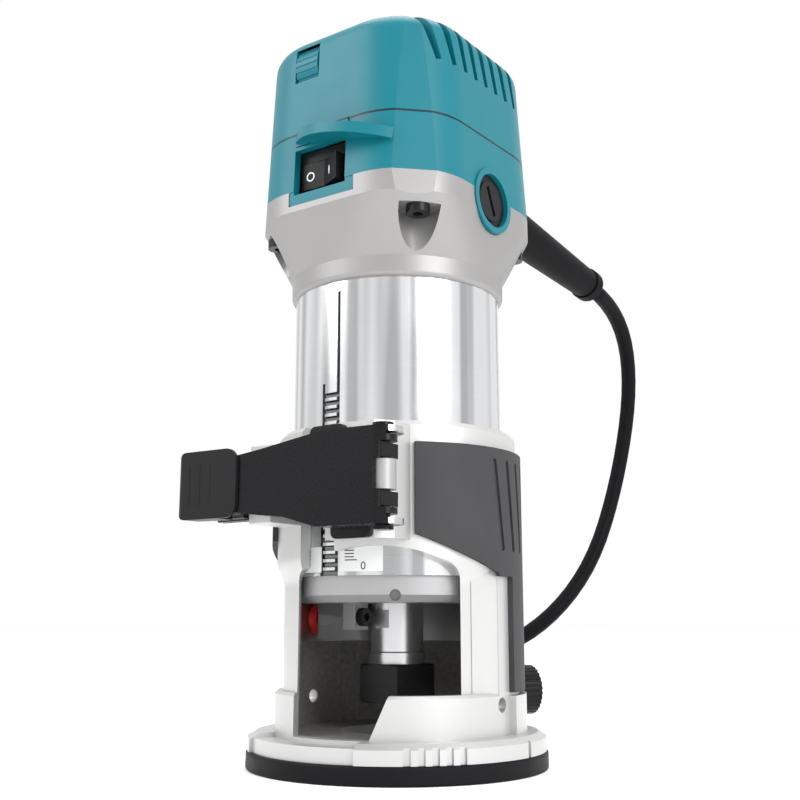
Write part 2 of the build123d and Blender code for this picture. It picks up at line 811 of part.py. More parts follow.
def make_lock_screw():
    with BuildPart() as lock_screw:
        with BuildSketch(Plane.YZ.offset(-9.0)):
            with Locations((-11.5, 43.5)):
                Circle(1.5)
        extrude(amount=3.92)
        with BuildSketch(Plane.YZ.offset(-5.08)):
            with Locations((-11.5, 43.5)):
                Circle(2.7)
        extrude(amount=2.2)
        with BuildSketch(Plane.YZ.offset(-3.9)):
            with Locations((-11.5, 43.5)):
                RegularPolygon(1.3, 6)
        extrude(amount=2, mode=Mode.SUBTRACT)
    save(lock_screw, "shaft_lock_screw")


def make_lock_button():
    """Red button with its stem and locking pin, pushed towards the spindle."""
    with BuildPart() as lock_button:
        with BuildSketch(Plane.YZ.offset(-31.5)):
            with Locations((0, LOCK_Z)):
                Circle(5.4)
        extrude(amount=3.6)
        edge = lock_button.faces().sort_by(Axis.X)[0].edges()
        chamfer(edge, 0.6)
        with BuildSketch(Plane.YZ.offset(-32.1)):
            with Locations((0, LOCK_Z)):
                Circle(3.8)
        extrude(amount=1.0)
        with BuildSketch(Plane.YZ.offset(-28.0)):
            with Locations((0, LOCK_Z)):
                Circle(2.0)
        extrude(amount=17.25)
    save(lock_button, "shaft_lock_button")


def make_lock_spring():
    """Return spring round the lock's stem, in the housing's chamber."""
    with BuildPart() as lock_spring:
        turns, pitch = 3, 1.7
        path = Helix(pitch, pitch * turns, 3.2, center=(-22.2, 0, LOCK_Z), direction=(1, 0, 0))
        start = path @ 0
        with BuildLine():
            add(path)
        with BuildSketch(Plane(origin=start, z_dir=path % 0)):
            Circle(0.35)
        sweep(is_frenet=True)
    save(lock_spring, "shaft_lock_spring")


# ---------------------------------------------------------------- spindle and armature


def make_armature_shaft():
    """Spindle and armature shaft in one, from the collet socket to the upper bearing."""
    with BuildPart() as armature_shaft:
        with BuildSketch(Plane.XZ):
            with BuildLine():
                Polyline(
                    (0, 198.0),
                    (4.0, 198.0),
                    (4.0, 183.0),
                    (5.0, 181.0),
                    (5.0, 74.0),
                    (7.5, 72.3),
                    (7.5, 51.0),
                    (SPINDLE_R, 51.0),
                    (SPINDLE_R, 33.4),
                    (8.6, 33.0),
                    (8.6, 21.6),
                    (7.2, 21.6),
                    (5.3, 37.0),
                    (3.4, 38.0),
                    (3.4, 58.0),
                    (0, 60.0),
                    close=True,
                )
            make_face()
        revolve(axis=Axis.Z)
        with BuildSketch(Plane.XZ):
            with Locations((8.7, 30.4), (8.7, 31.5), (8.7, 32.6)):
                Rectangle(0.9, 0.45)
        revolve(axis=Axis.Z, mode=Mode.SUBTRACT)
        for bearing in range(0, 360, 90):
            with BuildSketch(radial_plane(bearing, 7.6, LOCK_Z)):
                Rectangle(12, 5.4)
            extrude(amount=3, mode=Mode.SUBTRACT)
    save(armature_shaft, "armature_shaft")


def make_armature_core():
    with BuildPart() as armature_core:
        with BuildSketch(Plane.XY.offset(CORE_Z[0])):
            Circle(16.8)
            Circle(5.0, mode=Mode.SUBTRACT)
            with PolarLocations(13.6, 12):
                SlotOverall(7.6, 4.0, mode=Mode.SUBTRACT)
        extrude(amount=CORE_Z[1] - CORE_Z[0])
    save(armature_core, "armature_core")


def make_armature_windings():
    """Copper end turns above and below the core."""
    with BuildPart() as armature_windings:
        for bottom, top, taper in ((CORE_Z[0] - 5.6, CORE_Z[0], -20), (CORE_Z[1], CORE_Z[1] + 11.0, 20)):
            with BuildSketch(Plane.XY.offset(bottom if taper < 0 else bottom)):
                Circle(13.4 if taper < 0 else 15.6)
                Circle(5.0, mode=Mode.SUBTRACT)
            extrude(amount=top - bottom)
    save(armature_windings, "armature_windings")


def make_commutator():
    with BuildPart() as commutator:
        with BuildSketch(Plane.XY.offset(160.0)):
            Circle(11.0)
            Circle(5.0, mode=Mode.SUBTRACT)
            with PolarLocations(11.0, 24):
                Rectangle(2.0, 0.5, mode=Mode.SUBTRACT)
        extrude(amount=18.0)
        ring(5.0, 12.2, 156.5, 3.5)
    save(commutator, "commutator")


def make_cooling_fan():
    with BuildPart() as cooling_fan:
        ring(7.5, 10.0, 63.6, 8.4)
        ring(9.9, 26.2, 70.8, 1.2)
        with BuildSketch(Plane.XY.offset(63.6)):
            with PolarLocations(17.6, 11):
                Rectangle(16.4, 1.2, rotation=18)
        extrude(amount=7.4)
    save(cooling_fan, "cooling_fan")


def make_bearing(name, size, balls):
    """Ball bearing as two nodes: the outer ring, and the inner ring with its balls."""
    bore, outside, bottom, top = size
    middle_r, middle_z = (bore + outside) / 2, (bottom + top) / 2
    ball_r = (outside - bore) * 0.26
    inner_face, outer_face = middle_r - ball_r * 0.55, middle_r + ball_r * 0.55
    with BuildPart() as outer_ring:
        ring(outer_face, outside, bottom, top - bottom)
        with BuildSketch(Plane.XZ):
            with Locations((middle_r, middle_z)):
                Circle(ball_r + 0.05)
        revolve(axis=Axis.Z, mode=Mode.SUBTRACT)
    save(outer_ring, f"{name}_outer_ring")
    with BuildPart() as inner_ring:
        ring(bore, inner_face, bottom, top - bottom)
        with BuildSketch(Plane.XZ):
            with Locations((middle_r, middle_z)):
                Circle(ball_r + 0.02)
        revolve(axis=Axis.Z, mode=Mode.SUBTRACT)
        with Locations((0, 0, middle_z)):
            with PolarLocations(middle_r, balls):
                Sphere(ball_r)
    save(inner_ring, f"{name}_inner_ring")


def make_stator_core():
    with BuildPart() as stator_core:
        ring(25.5, 29.4, CORE_Z[0], CORE_Z[1] - CORE_Z[0])
        for centre in (0, 180):
            with BuildSketch(Plane.XY.offset(CORE_Z[0])):
                sector(17.4, 25.8, centre - 50, centre + 50)
            extrude(amount=CORE_Z[1] - CORE_Z[0])
    save(stator_core, "stator_core")


def make_field_coils():
    """One copper coil round each pole."""
    with BuildPart() as field_coils:
        for centre in (0, 180):
            with BuildSketch(Plane.XY.offset(CORE_Z[0] - 6)):
                sector(18.4, 25.3, centre - 86, centre + 86)
            extrude(amount=CORE_Z[1] - CORE_Z[0] + 12)
        for centre in (0, 180):
            with BuildSketch(Plane.XY.offset(CORE_Z[0] - 0.1)):
                sector(17.0, 26.0, centre - 50.3, centre + 50.3)
            extrude(amount=CORE_Z[1] - CORE_Z[0] + 0.2, mode=Mode.SUBTRACT)
    save(field_coils, "field_coils")


def make_collet():
    """Slotted collet cone for a 6 mm shank."""
    with BuildPart() as collet:
        with BuildSketch(Plane.XZ):
            bore = COLLET_BORE_D / 2
            with BuildLine():
                Polyline((bore, 19.4), (5.4, 19.4), (6.95, 21.8), (5.2, 36.2), (bore, 36.2), close=True)
            make_face()
        revolve(axis=Axis.Z)
        with BuildSketch(Plane.XY.offset(19.0)):
            Rectangle(20, 0.7)
            Rectangle(0.7, 20)
        extrude(amount=13, mode=Mode.SUBTRACT)
    save(collet, "collet")


def make_collet_nut():
    with BuildPart() as collet_nut:
        with BuildSketch(Plane.XY.offset(18.6)):
            RegularPolygon(NUT_AF / 2, 6, major_radius=False, rotation=-54)
        extrude(amount=11.2)
        with BuildSketch(Plane.XZ):
            with BuildLine():
                Polyline(
                    (0, 18.6), (10.9, 18.6), (12.9, 19.9),
                    (12.9, 28.6), (11.2, 29.8), (0, 29.8),
                    close=True,
                )
            make_face()
        revolve(axis=Axis.Z, mode=Mode.INTERSECT)
        with BuildSketch(Plane.XZ):
            with BuildLine():
                Polyline((0, 18.5), (4.9, 18.5), (7.0, 21.6), (8.65, 21.6), (8.65, 30), (0, 30), close=True)
            make_face()
        revolve(axis=Axis.Z, mode=Mode.SUBTRACT)
    save(collet_nut, "collet_nut")


# ---------------------------------------------------------------- housings


def corner_points():
    """The four housing screws' places, on the corner diagonals."""
    return [polar(SCREW_RADIUS, bearing) for bearing in (45, 135, 225, 315)]


def make_upper_housing():
    """Silver casting that opens from the barrel's ring to the cap's outline."""
    with BuildPart() as upper_housing:
        with BuildSketch(Plane.XY.offset(148.5)):
            RectangleRounded(2 * RING_R, 2 * RING_R, RING_R - 0.05)
        with BuildSketch(Plane.XY.offset(165.0)):
            cap_sketch(CAP_JOINT)
        loft()
        with BuildSketch(Plane.XY.offset(165.0)):
            cap_sketch(CAP_JOINT)
        extrude(amount=CAP_JOINT - 165.0)
        add(corner_facets(148.5, CAP_JOINT), mode=Mode.INTERSECT)
        ring(BARREL_IN_R, RING_R, BARREL_TOP, 148.6 - BARREL_TOP)
        rims = upper_housing.edges().filter_by(GeomType.CIRCLE).group_by(Axis.Z)[0]
        outer = rims.sort_by(SortBy.RADIUS)[-1]
        fillet(outer, 1.6)
        ring(27.4, BARREL_IN_R - 0.02, 136.0, 12.6)
        for x, y in corner_points():
            with BuildSketch(Plane.XY.offset(143.0)):
                with Locations((x, y)):
                    Circle(2.4)
            with BuildSketch(Plane.XY.offset(162.0)):
                with Locations((x, y)):
                    Circle(6.9)
            loft(mode=Mode.SUBTRACT)
            with BuildSketch(Plane.XY.offset(160.0)):
                with Locations((x, y)):
                    Circle(2.1)
            extrude(amount=12, mode=Mode.SUBTRACT)
        with BuildSketch(Plane.XY.offset(130.0)):
            Circle(27.4)
        extrude(amount=50, mode=Mode.SUBTRACT)
        with BuildSketch(Plane.XY.offset(154.0)):
            Circle(29.0)
        extrude(amount=20, mode=Mode.SUBTRACT)
        for side in (1, -1):
            with BuildSketch(Plane.YZ.offset(side * 27.2)):
                with Locations((0, BRUSH_Z)):
                    Circle(10.5)
            extrude(amount=side * 14, mode=Mode.SUBTRACT)
        with BuildSketch(Plane.XZ.offset(15.0)):
            with Locations((-0.5, 170.0)):
                Rectangle(25.2, 6.2)
        extrude(amount=28, mode=Mode.SUBTRACT)
    save(upper_housing, "upper_housing")


def brush_cylinders(inner, depth, radius):
    """Cylinders about the brush axis on both sides."""
    with BuildPart() as cylinders:
        for side in (1, -1):
            with BuildSketch(Plane.YZ.offset(side * inner)):
                with Locations((0, BRUSH_Z)):
                    Circle(radius)
            extrude(amount=side * depth)
    return cylinders.part


def bearing_deck():
    """Spider inside the lower cover that carries the upper bearing."""
    with BuildPart() as deck:
        bottom = UPPER_BEARING[2] - 2.5
        with BuildSketch(Plane.XY.offset(bottom)):
            Circle(15.0)
            for angle in (45, 135):
                Rectangle(76, 7, rotation=angle)
            with Locations(CLAMP_PLACE):
                Rectangle(24, 8)
        extrude(amount=3)
        with BuildSketch(Plane.XY.offset(bottom)):
            Circle(15.0)
        extrude(amount=UPPER_BEARING[3] - bottom)
        with BuildSketch(Plane.XY.offset(UPPER_BEARING[2])):
            Circle(12.5)
        extrude(amount=12, mode=Mode.SUBTRACT)
        with BuildSketch(Plane.XY.offset(bottom - 1)):
            Circle(6.0)
        extrude(amount=12, mode=Mode.SUBTRACT)
    return deck.part


def make_lower_cover():
    """Lower plastic cover: walls, switch pocket with its tab, brush lobes and bearing spider."""
    with BuildPart() as lower_cover:
        add(cap_prism(CAP_JOINT, CAP_SPLIT))
        with BuildSketch(Plane.XZ.offset(33.2)):
            with Locations((-0.5, 170.0)):
                RectangleRounded(24.8, 6.0, 0.8)
        extrude(amount=5.5)
        add(corner_facets(CAP_JOINT - 5, CAP_SPLIT), mode=Mode.INTERSECT)
        add(cap_prism(CAP_JOINT, CAP_SPLIT, wall=2.6), mode=Mode.SUBTRACT)
        for x, y in corner_points():
            with BuildSketch(Plane.XY.offset(CAP_JOINT)):
                with Locations((x * 0.93, y * 0.93)):
                    Circle(5.2)
            extrude(amount=CAP_SPLIT - CAP_JOINT)
        add(brush_cylinders(27.3, 9.6, 10.35))
        add(brush_cylinders(20.0, 20.0, 8.45), mode=Mode.SUBTRACT)
        add(bearing_deck())
        with BuildSketch(Plane.XZ.offset(15)):
            with Locations((-1.2, 177.6)):
                Rectangle(20.0, 14.6)
        extrude(amount=30, mode=Mode.SUBTRACT)
        with BuildSketch(Plane.XZ.offset(30)):
            with Locations((-0.6, 189.4)):
                Rectangle(20.8, 6.8)
        extrude(amount=15, mode=Mode.SUBTRACT)
        for x, y in corner_points():
            with BuildSketch(Plane.XY.offset(CAP_JOINT - 1)):
                with Locations((x, y)):
                    Circle(1.72)
            extrude(amount=30, mode=Mode.SUBTRACT)
        with BuildSketch(Plane.XZ.offset(-30)):
            with Locations((GUARD_START[0], GUARD_START[2])):
                Circle(8.0)
        extrude(amount=-12, mode=Mode.SUBTRACT)
    save(lower_cover, "lower_cover")


def visor():
    """Curved ledge over the rocker, falling towards the right."""
    with BuildPart() as ledge:
        tilt = radians(11)
        along, upward = (cos(tilt), 0, -sin(tilt)), (sin(tilt), 0, cos(tilt))
        plane = Plane(origin=(-11.0, 0, 187.3), x_dir=along, z_dir=upward)
        with BuildSketch(plane):
            with BuildLine():
                ThreePointArc((0.3, -38.9), (15.0, -45.6), (36.5, -36.9))
                Polyline(
                    (36.5, -36.9), (34.0, -37.4), (20.9, -38.75),
                    (20.9, -35.5), (0.3, -35.5), (0.3, -38.9),
                )
            make_face()
        extrude(amount=3.2)
        add(cap_prism(174.0, CAP_SPLIT, wall=-0.1), mode=Mode.SUBTRACT)
    return ledge.part


def make_top_cover():
    """Top plastic cover with the visor's tongue, intake slots and the dial's notch."""
    with BuildPart() as top_cover:
        add(cap_prism(CAP_SPLIT, CAP_TOP))
        add(corner_facets(CAP_SPLIT, CAP_TOP), mode=Mode.INTERSECT)
        fillet(top_cover.faces().sort_by(Axis.Z)[-1].edges(), 6.0)
        add(cap_prism(CAP_SPLIT, CAP_TOP - 3.0, wall=2.8), mode=Mode.SUBTRACT)
        with BuildSketch(Plane.XZ.offset(34.2)):
            with Locations((-0.6, 188.4)):
                Rectangle(20.4, 4.4)
        extrude(amount=4.4)
        add(visor())
        for side in (1, -1):
            for index in range(8):
                y = -25.5 + 6.0 * index
                with BuildSketch(Plane.YZ.offset(side * 22)):
                    with BuildLine():
                        Polyline(
                            (y - 4.2, 226), (y - 1.2, 226),
                            (y + 2.8, 209.0), (y + 0.9, 208.4),
                            close=True,
                        )
                    make_face()
                extrude(amount=side * 18, mode=Mode.SUBTRACT)
        with BuildSketch(Plane.YZ.offset(-12.9)):
            with Locations((-28.2, 213.6)):
                Circle(10.4)
        extrude(amount=9.6, mode=Mode.SUBTRACT)
    save(top_cover, "top_cover")


def make_housing_screws():
    """Four long screws up through the silver housing into the lower cover."""
    with BuildPart() as housing_screws:
        for x, y in corner_points():
            with BuildSketch(Plane.XY.offset(159.4)):
                with Locations((x, y)):
                    Circle(3.6)
            extrude(amount=2.6)
            with BuildSketch(Plane.XY.offset(162.0)):
                with Locations((x, y)):
                    Circle(1.7)
            extrude(amount=22)
            with BuildSketch(Plane.XY.offset(159.4)):
                with Locations((x, y)):
                    RegularPolygon(1.7, 6)
            extrude(amount=1.5, mode=Mode.SUBTRACT)
    save(housing_screws, "housing_screws")


def make_bearing_sleeve():
    bore, outside, bottom, top = UPPER_BEARING
    with BuildPart() as bearing_sleeve:
        ring(outside, 12.5, bottom, top - bottom)
    save(bearing_sleeve, "bearing_sleeve")


# ---------------------------------------------------------------- brushes, switch, dial, board


def both_sides(builder_part):
    """The same piece on both ends of the X axis, as separate solids."""
    add(builder_part)
    add(builder_part.rotate(Axis.Z, 180))


def make_brush_holders():
    with BuildPart() as holder:
        with BuildSketch(Plane.YZ.offset(30.6)):
            with Locations((0, BRUSH_Z)):
                Circle(8.4)
        extrude(amount=4.8)
        with BuildSketch(Plane.YZ.offset(14.0)):
            with Locations((0, BRUSH_Z)):
                RectangleRounded(8.4, 11.4, 1.0)
        extrude(amount=17)
        with BuildSketch(Plane.YZ.offset(13.0)):
            with Locations((0, BRUSH_Z)):
                Rectangle(5.1, 8.1)
        extrude(amount=19, mode=Mode.SUBTRACT)
        with BuildSketch(Plane.YZ.offset(30.8)):
            with Locations((0, BRUSH_Z)):
                Circle(6.45)
        extrude(amount=6, mode=Mode.SUBTRACT)
    with BuildPart() as brush_holders:
        both_sides(holder.part)
    save(brush_holders, "brush_holders")


def make_carbon_brushes():
    with BuildPart() as brush:
        with BuildSketch(Plane.YZ.offset(11.05)):
            with Locations((0, BRUSH_Z)):
                Rectangle(5.0, 8.0)
        extrude(amount=12.0)
    with BuildPart() as carbon_brushes:
        both_sides(brush.part)
    save(carbon_brushes, "carbon_brushes")


def make_brush_springs():
    with BuildPart() as spring:
        with BuildSketch(Plane.YZ.offset(23.1)):
            with Locations((0, BRUSH_Z)):
                Circle(2.2)
                Circle(1.5, mode=Mode.SUBTRACT)
        extrude(amount=8.6)
    with BuildPart() as brush_springs:
        both_sides(spring.part)
    save(brush_springs, "brush_springs")


def make_brush_caps():
    with BuildPart() as cap:
        with BuildSketch(Plane.YZ.offset(31.8)):
            with Locations((0, BRUSH_Z)):
                Circle(6.4)
        extrude(amount=4.1)
        with BuildSketch(Plane.YZ.offset(34.6)):
            with Locations((0, BRUSH_Z)):
                Rectangle(1.5, 9.4, rotation=24)
        extrude(amount=2, mode=Mode.SUBTRACT)
    with BuildPart() as brush_caps:
        both_sides(cap.part)
    save(brush_caps, "brush_caps")


ROCKER_AXIS = (-1.6, -33.4)
ROCKER_REST = 11.0


def make_rocker():
    """Rocker that tips about an upright axis, resting with its left half pressed."""
    x0, y0 = ROCKER_AXIS
    with BuildPart() as upright:
        with BuildSketch(Plane.XY.offset(172.5)):
            with BuildLine():
                Polyline(
                    (-3.2, 2.4), (-7.8, -1.0), (-7.8, -3.9),
                    (0, -1.9), (7.8, -3.9), (7.8, -1.0), (3.2, 2.4),
                )
                Line((3.2, 2.4), (-3.2, 2.4))
            make_face()
        extrude(amount=8.4)
        with BuildSketch(Plane.XY.offset(171.4)):
            Circle(1.2)
        extrude(amount=10.6)
    with BuildPart() as rocker:
        add(upright.part.rotate(Axis.Z, ROCKER_REST * -1).moved(Location((x0, y0, 0))))
    save(rocker, "rocker")


def make_switch_body():
    x0, y0 = ROCKER_AXIS
    with BuildPart() as switch_body:
        with BuildSketch(Plane.XZ.offset(17.5)):
            with Locations((-1.2, 177.6)):
                Rectangle(19.8, 14.4)
        extrude(amount=17.6)
        with BuildSketch(Plane.XZ.offset(28.6)):
            with Locations((x0, 176.7)):
                Rectangle(17.0, 9.0)
        extrude(amount=12, mode=Mode.SUBTRACT)
        with BuildSketch(Plane.XY.offset(171.3)):
            with Locations(ROCKER_AXIS):
                Circle(1.25)
        extrude(amount=10.8, mode=Mode.SUBTRACT)
    save(switch_body, "switch_body")


def make_speed_dial():
    """Thumb wheel of the speed control, showing through the notch at the cap's top edge."""
    with BuildPart() as speed_dial:
        with BuildSketch(Plane.YZ.offset(-12.4)):
            with Locations((-28.2, 213.6)):
                Circle(9.3)
                with PolarLocations(9.4, 28):
                    Circle(0.4, mode=Mode.SUBTRACT)
                Circle(2.0, mode=Mode.SUBTRACT)
        extrude(amount=8.6)
    save(speed_dial, "speed_dial")


def make_dial_axle():
    with BuildPart() as dial_axle:
        with BuildSketch(Plane.YZ.offset(-13.2)):
            with Locations((-28.2, 213.6)):
                Circle(1.95)
        extrude(amount=15.0)
        with BuildSketch(Plane.YZ.offset(-3.2)):
            with Locations((-27.2, 210.6)):
                Rectangle(12, 14)
        extrude(amount=5.0)
    save(dial_axle, "dial_potentiometer")


def make_control_board():
    """Speed control board with its parts, above the upper bearing."""
    with BuildPart() as control_board:
        with BuildSketch(Plane.XY.offset(202.0)):
            with Locations((0, 2)):
                RectangleRounded(54, 44, 4)
        extrude(amount=1.6)
        for x, y, size, height in ((-14, 12, 11, 8), (4, 14, 8, 9), (16, -2, 12, 5), (-16, -6, 7, 6)):
            with BuildSketch(Plane.XY.offset(203.6)):
                with Locations((x, y)):
                    RectangleRounded(size, size, 1)
            extrude(amount=height)
    save(control_board, "control_board")


# ---------------------------------------------------------------- cord


def make_cord_guard():
    """Tapered rubber guard with a flange inside the cover and a bead at its end."""
    plane = Plane(origin=GUARD_START, x_dir=(1, 0, 0), z_dir=Vector(GUARD_END) - Vector(GUARD_START))
    length = (Vector(GUARD_END) - Vector(GUARD_START)).length
    with BuildPart() as cord_guard:
        with BuildSketch(plane.offset(-6.4)):
            Circle(8.3)
        extrude(amount=2.0)
        with BuildSketch(plane.offset(-4.6)):
            Circle(7.7)
        with BuildSketch(plane.offset(2.4)):
            Circle(7.6)
        with BuildSketch(plane.offset(length - 3.0)):
            Circle(5.7)
        loft(ruled=True)
        with BuildSketch(plane.offset(length - 5.0)):
            Circle(6.3)
        extrude(amount=5.0)
        fillet(cord_guard.faces().sort_by(Axis.Y)[-1].edges(), 1.2)
        with BuildSketch(plane.offset(-8)):
            Circle(CORD_D / 2)
        extrude(amount=length + 9, mode=Mode.SUBTRACT)
    save(cord_guard, "cord_guard")


def make_cord_clamp():
    """Bar that grips the cord under the deck's pad, and its two screws."""
    x, y = CLAMP_PLACE
    with BuildPart() as cord_clamp:
        with BuildSketch(Plane.XY.offset(177.6)):
            with Locations((x, y)):
                RectangleRounded(23, 7, 1.5)
            with Locations((x - 8.2, y), (x + 8.2, y)):
                Circle(1.4, mode=Mode.SUBTRACT)
        extrude(amount=3.0)
    save(cord_clamp, "cord_clamp")
    with BuildPart() as clamp_screws:
        with BuildSketch(Plane.XY.offset(175.9)):
            with Locations((x - 8.2, y), (x + 8.2, y)):
                Circle(2.6)
        extrude(amount=1.7)
        with BuildSketch(Plane.XY.offset(177.6)):
            with Locations((x - 8.2, y), (x + 8.2, y)):
                Circle(1.35)
        extrude(amount=8.85)
    save(clamp_screws, "cord_clamp_screws")


def bend_radii(route):
    """Largest even arc at each corner: 0.45 of the shorter run over the tangent of half the turn."""
    points = [Vector(*point) for point in route]
    radii = []
    for before, corner, after in zip(points, points[1:], points[2:]):
        first, second = corner - before, after - corner
        turn = radians(first.get_angle(second))
        radii.append(0.45 * min(first.length, second.length) / tan(turn / 2))
    return radii


def make_tube(route, name):
    """Cord tube of straight runs and tangent arcs along a route."""
    radii = bend_radii(route)
    with BuildPart() as tube:
        with BuildLine() as path:
            line = FilletPolyline(*route, radius=radii)
        with BuildSketch(Plane(origin=line @ 0, z_dir=line % 0)):
            Circle(CORD_D / 2)
        sweep(path=path.wires()[0])
    length = path.wires()[0].length
    share = tube.part.volume / (pi * CORD_D**2 / 4 * length)
    rounded = [round(radius, 1) for radius in radii]
    print(name, "radii", rounded, "length", round(length), "share", round(share, 4))
    save(tube, name)


def make_cord_coil():
    """Outer shape of the wound cord, lying flat on the floor behind the router."""
    with BuildPart() as cord_coil:
        with BuildSketch(Plane(origin=(*COIL_CENTRE, 0), x_dir=(1, 0, 0), z_dir=(0, -1, 0))):
            with Locations((COIL_TURN_R, COIL_HEIGHT / 2)):
                RectangleRounded(2 * COIL_HALF_WIDTH, COIL_HEIGHT, CORD_D / 2)
        revolve(axis=Axis((*COIL_CENTRE, 0), (0, 0, 1)))
    save(cord_coil, "cord_coil")


def tail_plane():
    """Plane on the floor where the cord leaves the coil: X along the straight tail."""
    heading = radians(PLUG_HEADING)
    along = Vector(cos(heading), sin(heading), 0)
    side = Vector(sin(heading), -cos(heading), 0)
    centre = Vector(*COIL_CENTRE, 0)
    return Plane(origin=centre + side * (COIL_TURN_R + CORD_D), x_dir=along, z_dir=(0, 0, 1))


def make_cord_tail():
    """Short stretch from the coil's lowest layer to the plug's tail."""
    plane = tail_plane()
    places = ((0, 0, 3.4), (14, 0, 4.0), (28, 0, 7.6), (40, 0, 8.0))
    make_tube([tuple(plane.from_local_coords(place)) for place in places], "cord_tail")


def make_plug():
    """Flat two-pole plug on the floor, with its ribbed tail and two round pins."""
    plane = tail_plane()
    plane = Plane(origin=plane.from_local_coords((78, 0, 0)), x_dir=plane.x_dir, z_dir=(0, 0, 1))
    with BuildPart() as plug:
        with BuildSketch(plane):
            with BuildLine():
                Polyline((-22, 7), (-22, -7), (-10, -15), (14, -17), (16, -15), (16, 15), (14, 17), (-10, 15))
                Line((-10, 15), (-22, 7))
            make_face()
        extrude(amount=16)
        fillet(plug.edges().filter_by(Axis.Z), 2.0)
        tail = Plane(origin=plane.from_local_coords((-22, 0, 8)), z_dir=-plane.x_dir)
        with BuildSketch(tail.offset(-1)):
            Circle(6.5)
        with BuildSketch(tail.offset(20)):
            Circle(4.6)
        loft()
    save(plug, "plug")
    with BuildPart() as plug_pins:
        for offset_y in (-9.5, 9.5):
            pin = Plane(origin=plane.from_local_coords((16, offset_y, 8)), z_dir=plane.x_dir)
            with BuildSketch(pin):
                Circle(2.4)
            extrude(amount=19)
    save(plug_pins, "plug_pins")


def main():
    make_base_plate()
    make_plate_screws()
    make_base_casting()
    grip_panel(1)
    grip_panel(-1)
    make_thumb_screw()
    make_clamp_bracket()
    make_hinge_pin()
    make_draw_bolt()
    make_clamp_nut()
    make_clamp_lever()
    make_thumb_pad()
    make_pinion()
    make_pinion_shaft()
    make_pinion_bush()
    make_height_knob()
    make_motor_barrel()
    make_depth_scale()
    make_bearing_box()
    make_lock_screw()
    make_lock_button()
    make_lock_spring()
    make_armature_shaft()
    make_armature_core()
    make_armature_windings()
    make_commutator()
    make_cooling_fan()
    make_bearing("lower_bearing", LOWER_BEARING, 9)
    make_bearing("upper_bearing", UPPER_BEARING, 7)
    make_stator_core()
    make_field_coils()
    make_collet()
    make_collet_nut()
    make_upper_housing()
    make_lower_cover()
    make_top_cover()
    make_housing_screws()
    make_bearing_sleeve()
    make_brush_holders()
    make_carbon_brushes()
    make_brush_springs()
    make_brush_caps()
    make_rocker()
    make_switch_body()
    make_speed_dial()
    make_dial_axle()
    make_control_board()
    make_cord_guard()
    make_cord_clamp()
    make_tube(CORD_ROUTE, "cord_lead")
    make_cord_coil()
    make_plug()
    make_cord_tail()


main()
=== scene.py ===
"""Corded trim router: finishes, cord, scale marks and studio around the fixed CAD frame."""

from __future__ import annotations

import logging
import math
from dataclasses import dataclass
from enum import Enum
from typing import Any, NamedTuple, Sequence

import bmesh
import bpy
from mathutils import Matrix, Vector

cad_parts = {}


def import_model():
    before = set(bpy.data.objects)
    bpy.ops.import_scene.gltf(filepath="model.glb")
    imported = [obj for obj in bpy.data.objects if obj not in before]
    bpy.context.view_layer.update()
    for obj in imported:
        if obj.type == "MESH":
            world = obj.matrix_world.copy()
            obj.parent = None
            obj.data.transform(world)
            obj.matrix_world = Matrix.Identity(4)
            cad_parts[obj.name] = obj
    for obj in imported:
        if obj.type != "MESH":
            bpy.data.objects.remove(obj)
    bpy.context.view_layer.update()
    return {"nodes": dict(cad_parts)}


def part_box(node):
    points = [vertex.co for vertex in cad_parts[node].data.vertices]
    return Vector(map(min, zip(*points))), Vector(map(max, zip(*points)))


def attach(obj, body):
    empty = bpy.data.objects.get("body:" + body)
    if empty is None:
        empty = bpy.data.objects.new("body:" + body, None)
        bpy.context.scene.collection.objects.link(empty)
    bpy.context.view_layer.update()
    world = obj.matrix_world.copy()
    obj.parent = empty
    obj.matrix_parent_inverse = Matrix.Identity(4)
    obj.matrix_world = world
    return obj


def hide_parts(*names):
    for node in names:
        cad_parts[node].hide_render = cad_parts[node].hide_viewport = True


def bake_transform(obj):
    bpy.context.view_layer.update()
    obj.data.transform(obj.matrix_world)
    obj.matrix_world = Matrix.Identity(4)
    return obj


LOG = logging.getLogger("trim_router")
Point = tuple[float, float, float]
Colour = tuple[float, float, float]


class Body(Enum):
    """CAD bodies that the added pieces ride on."""

    MOTOR = "motor"
    LEVER = "lever"
    ROCKER = "rocker"


class Tick(NamedTuple):
    """A stack of printed lines: its name, bearing in degrees, count, line width, lowest line and spacing."""

    name: str
    bearing: float
    count: int
    wide: float
    low: float
    spacing: float


class Mark(NamedTuple):
    """A mark on one half of the rocker: its name, place along the rocker, radii and stretch upward."""

    name: str
    along: float
    inner: float
    outer: float
    tall: float


class Lamp(NamedTuple):
    """A round studio light: its name, place, diameter and power."""

    name: str
    place: Point
    size: float
    power: float


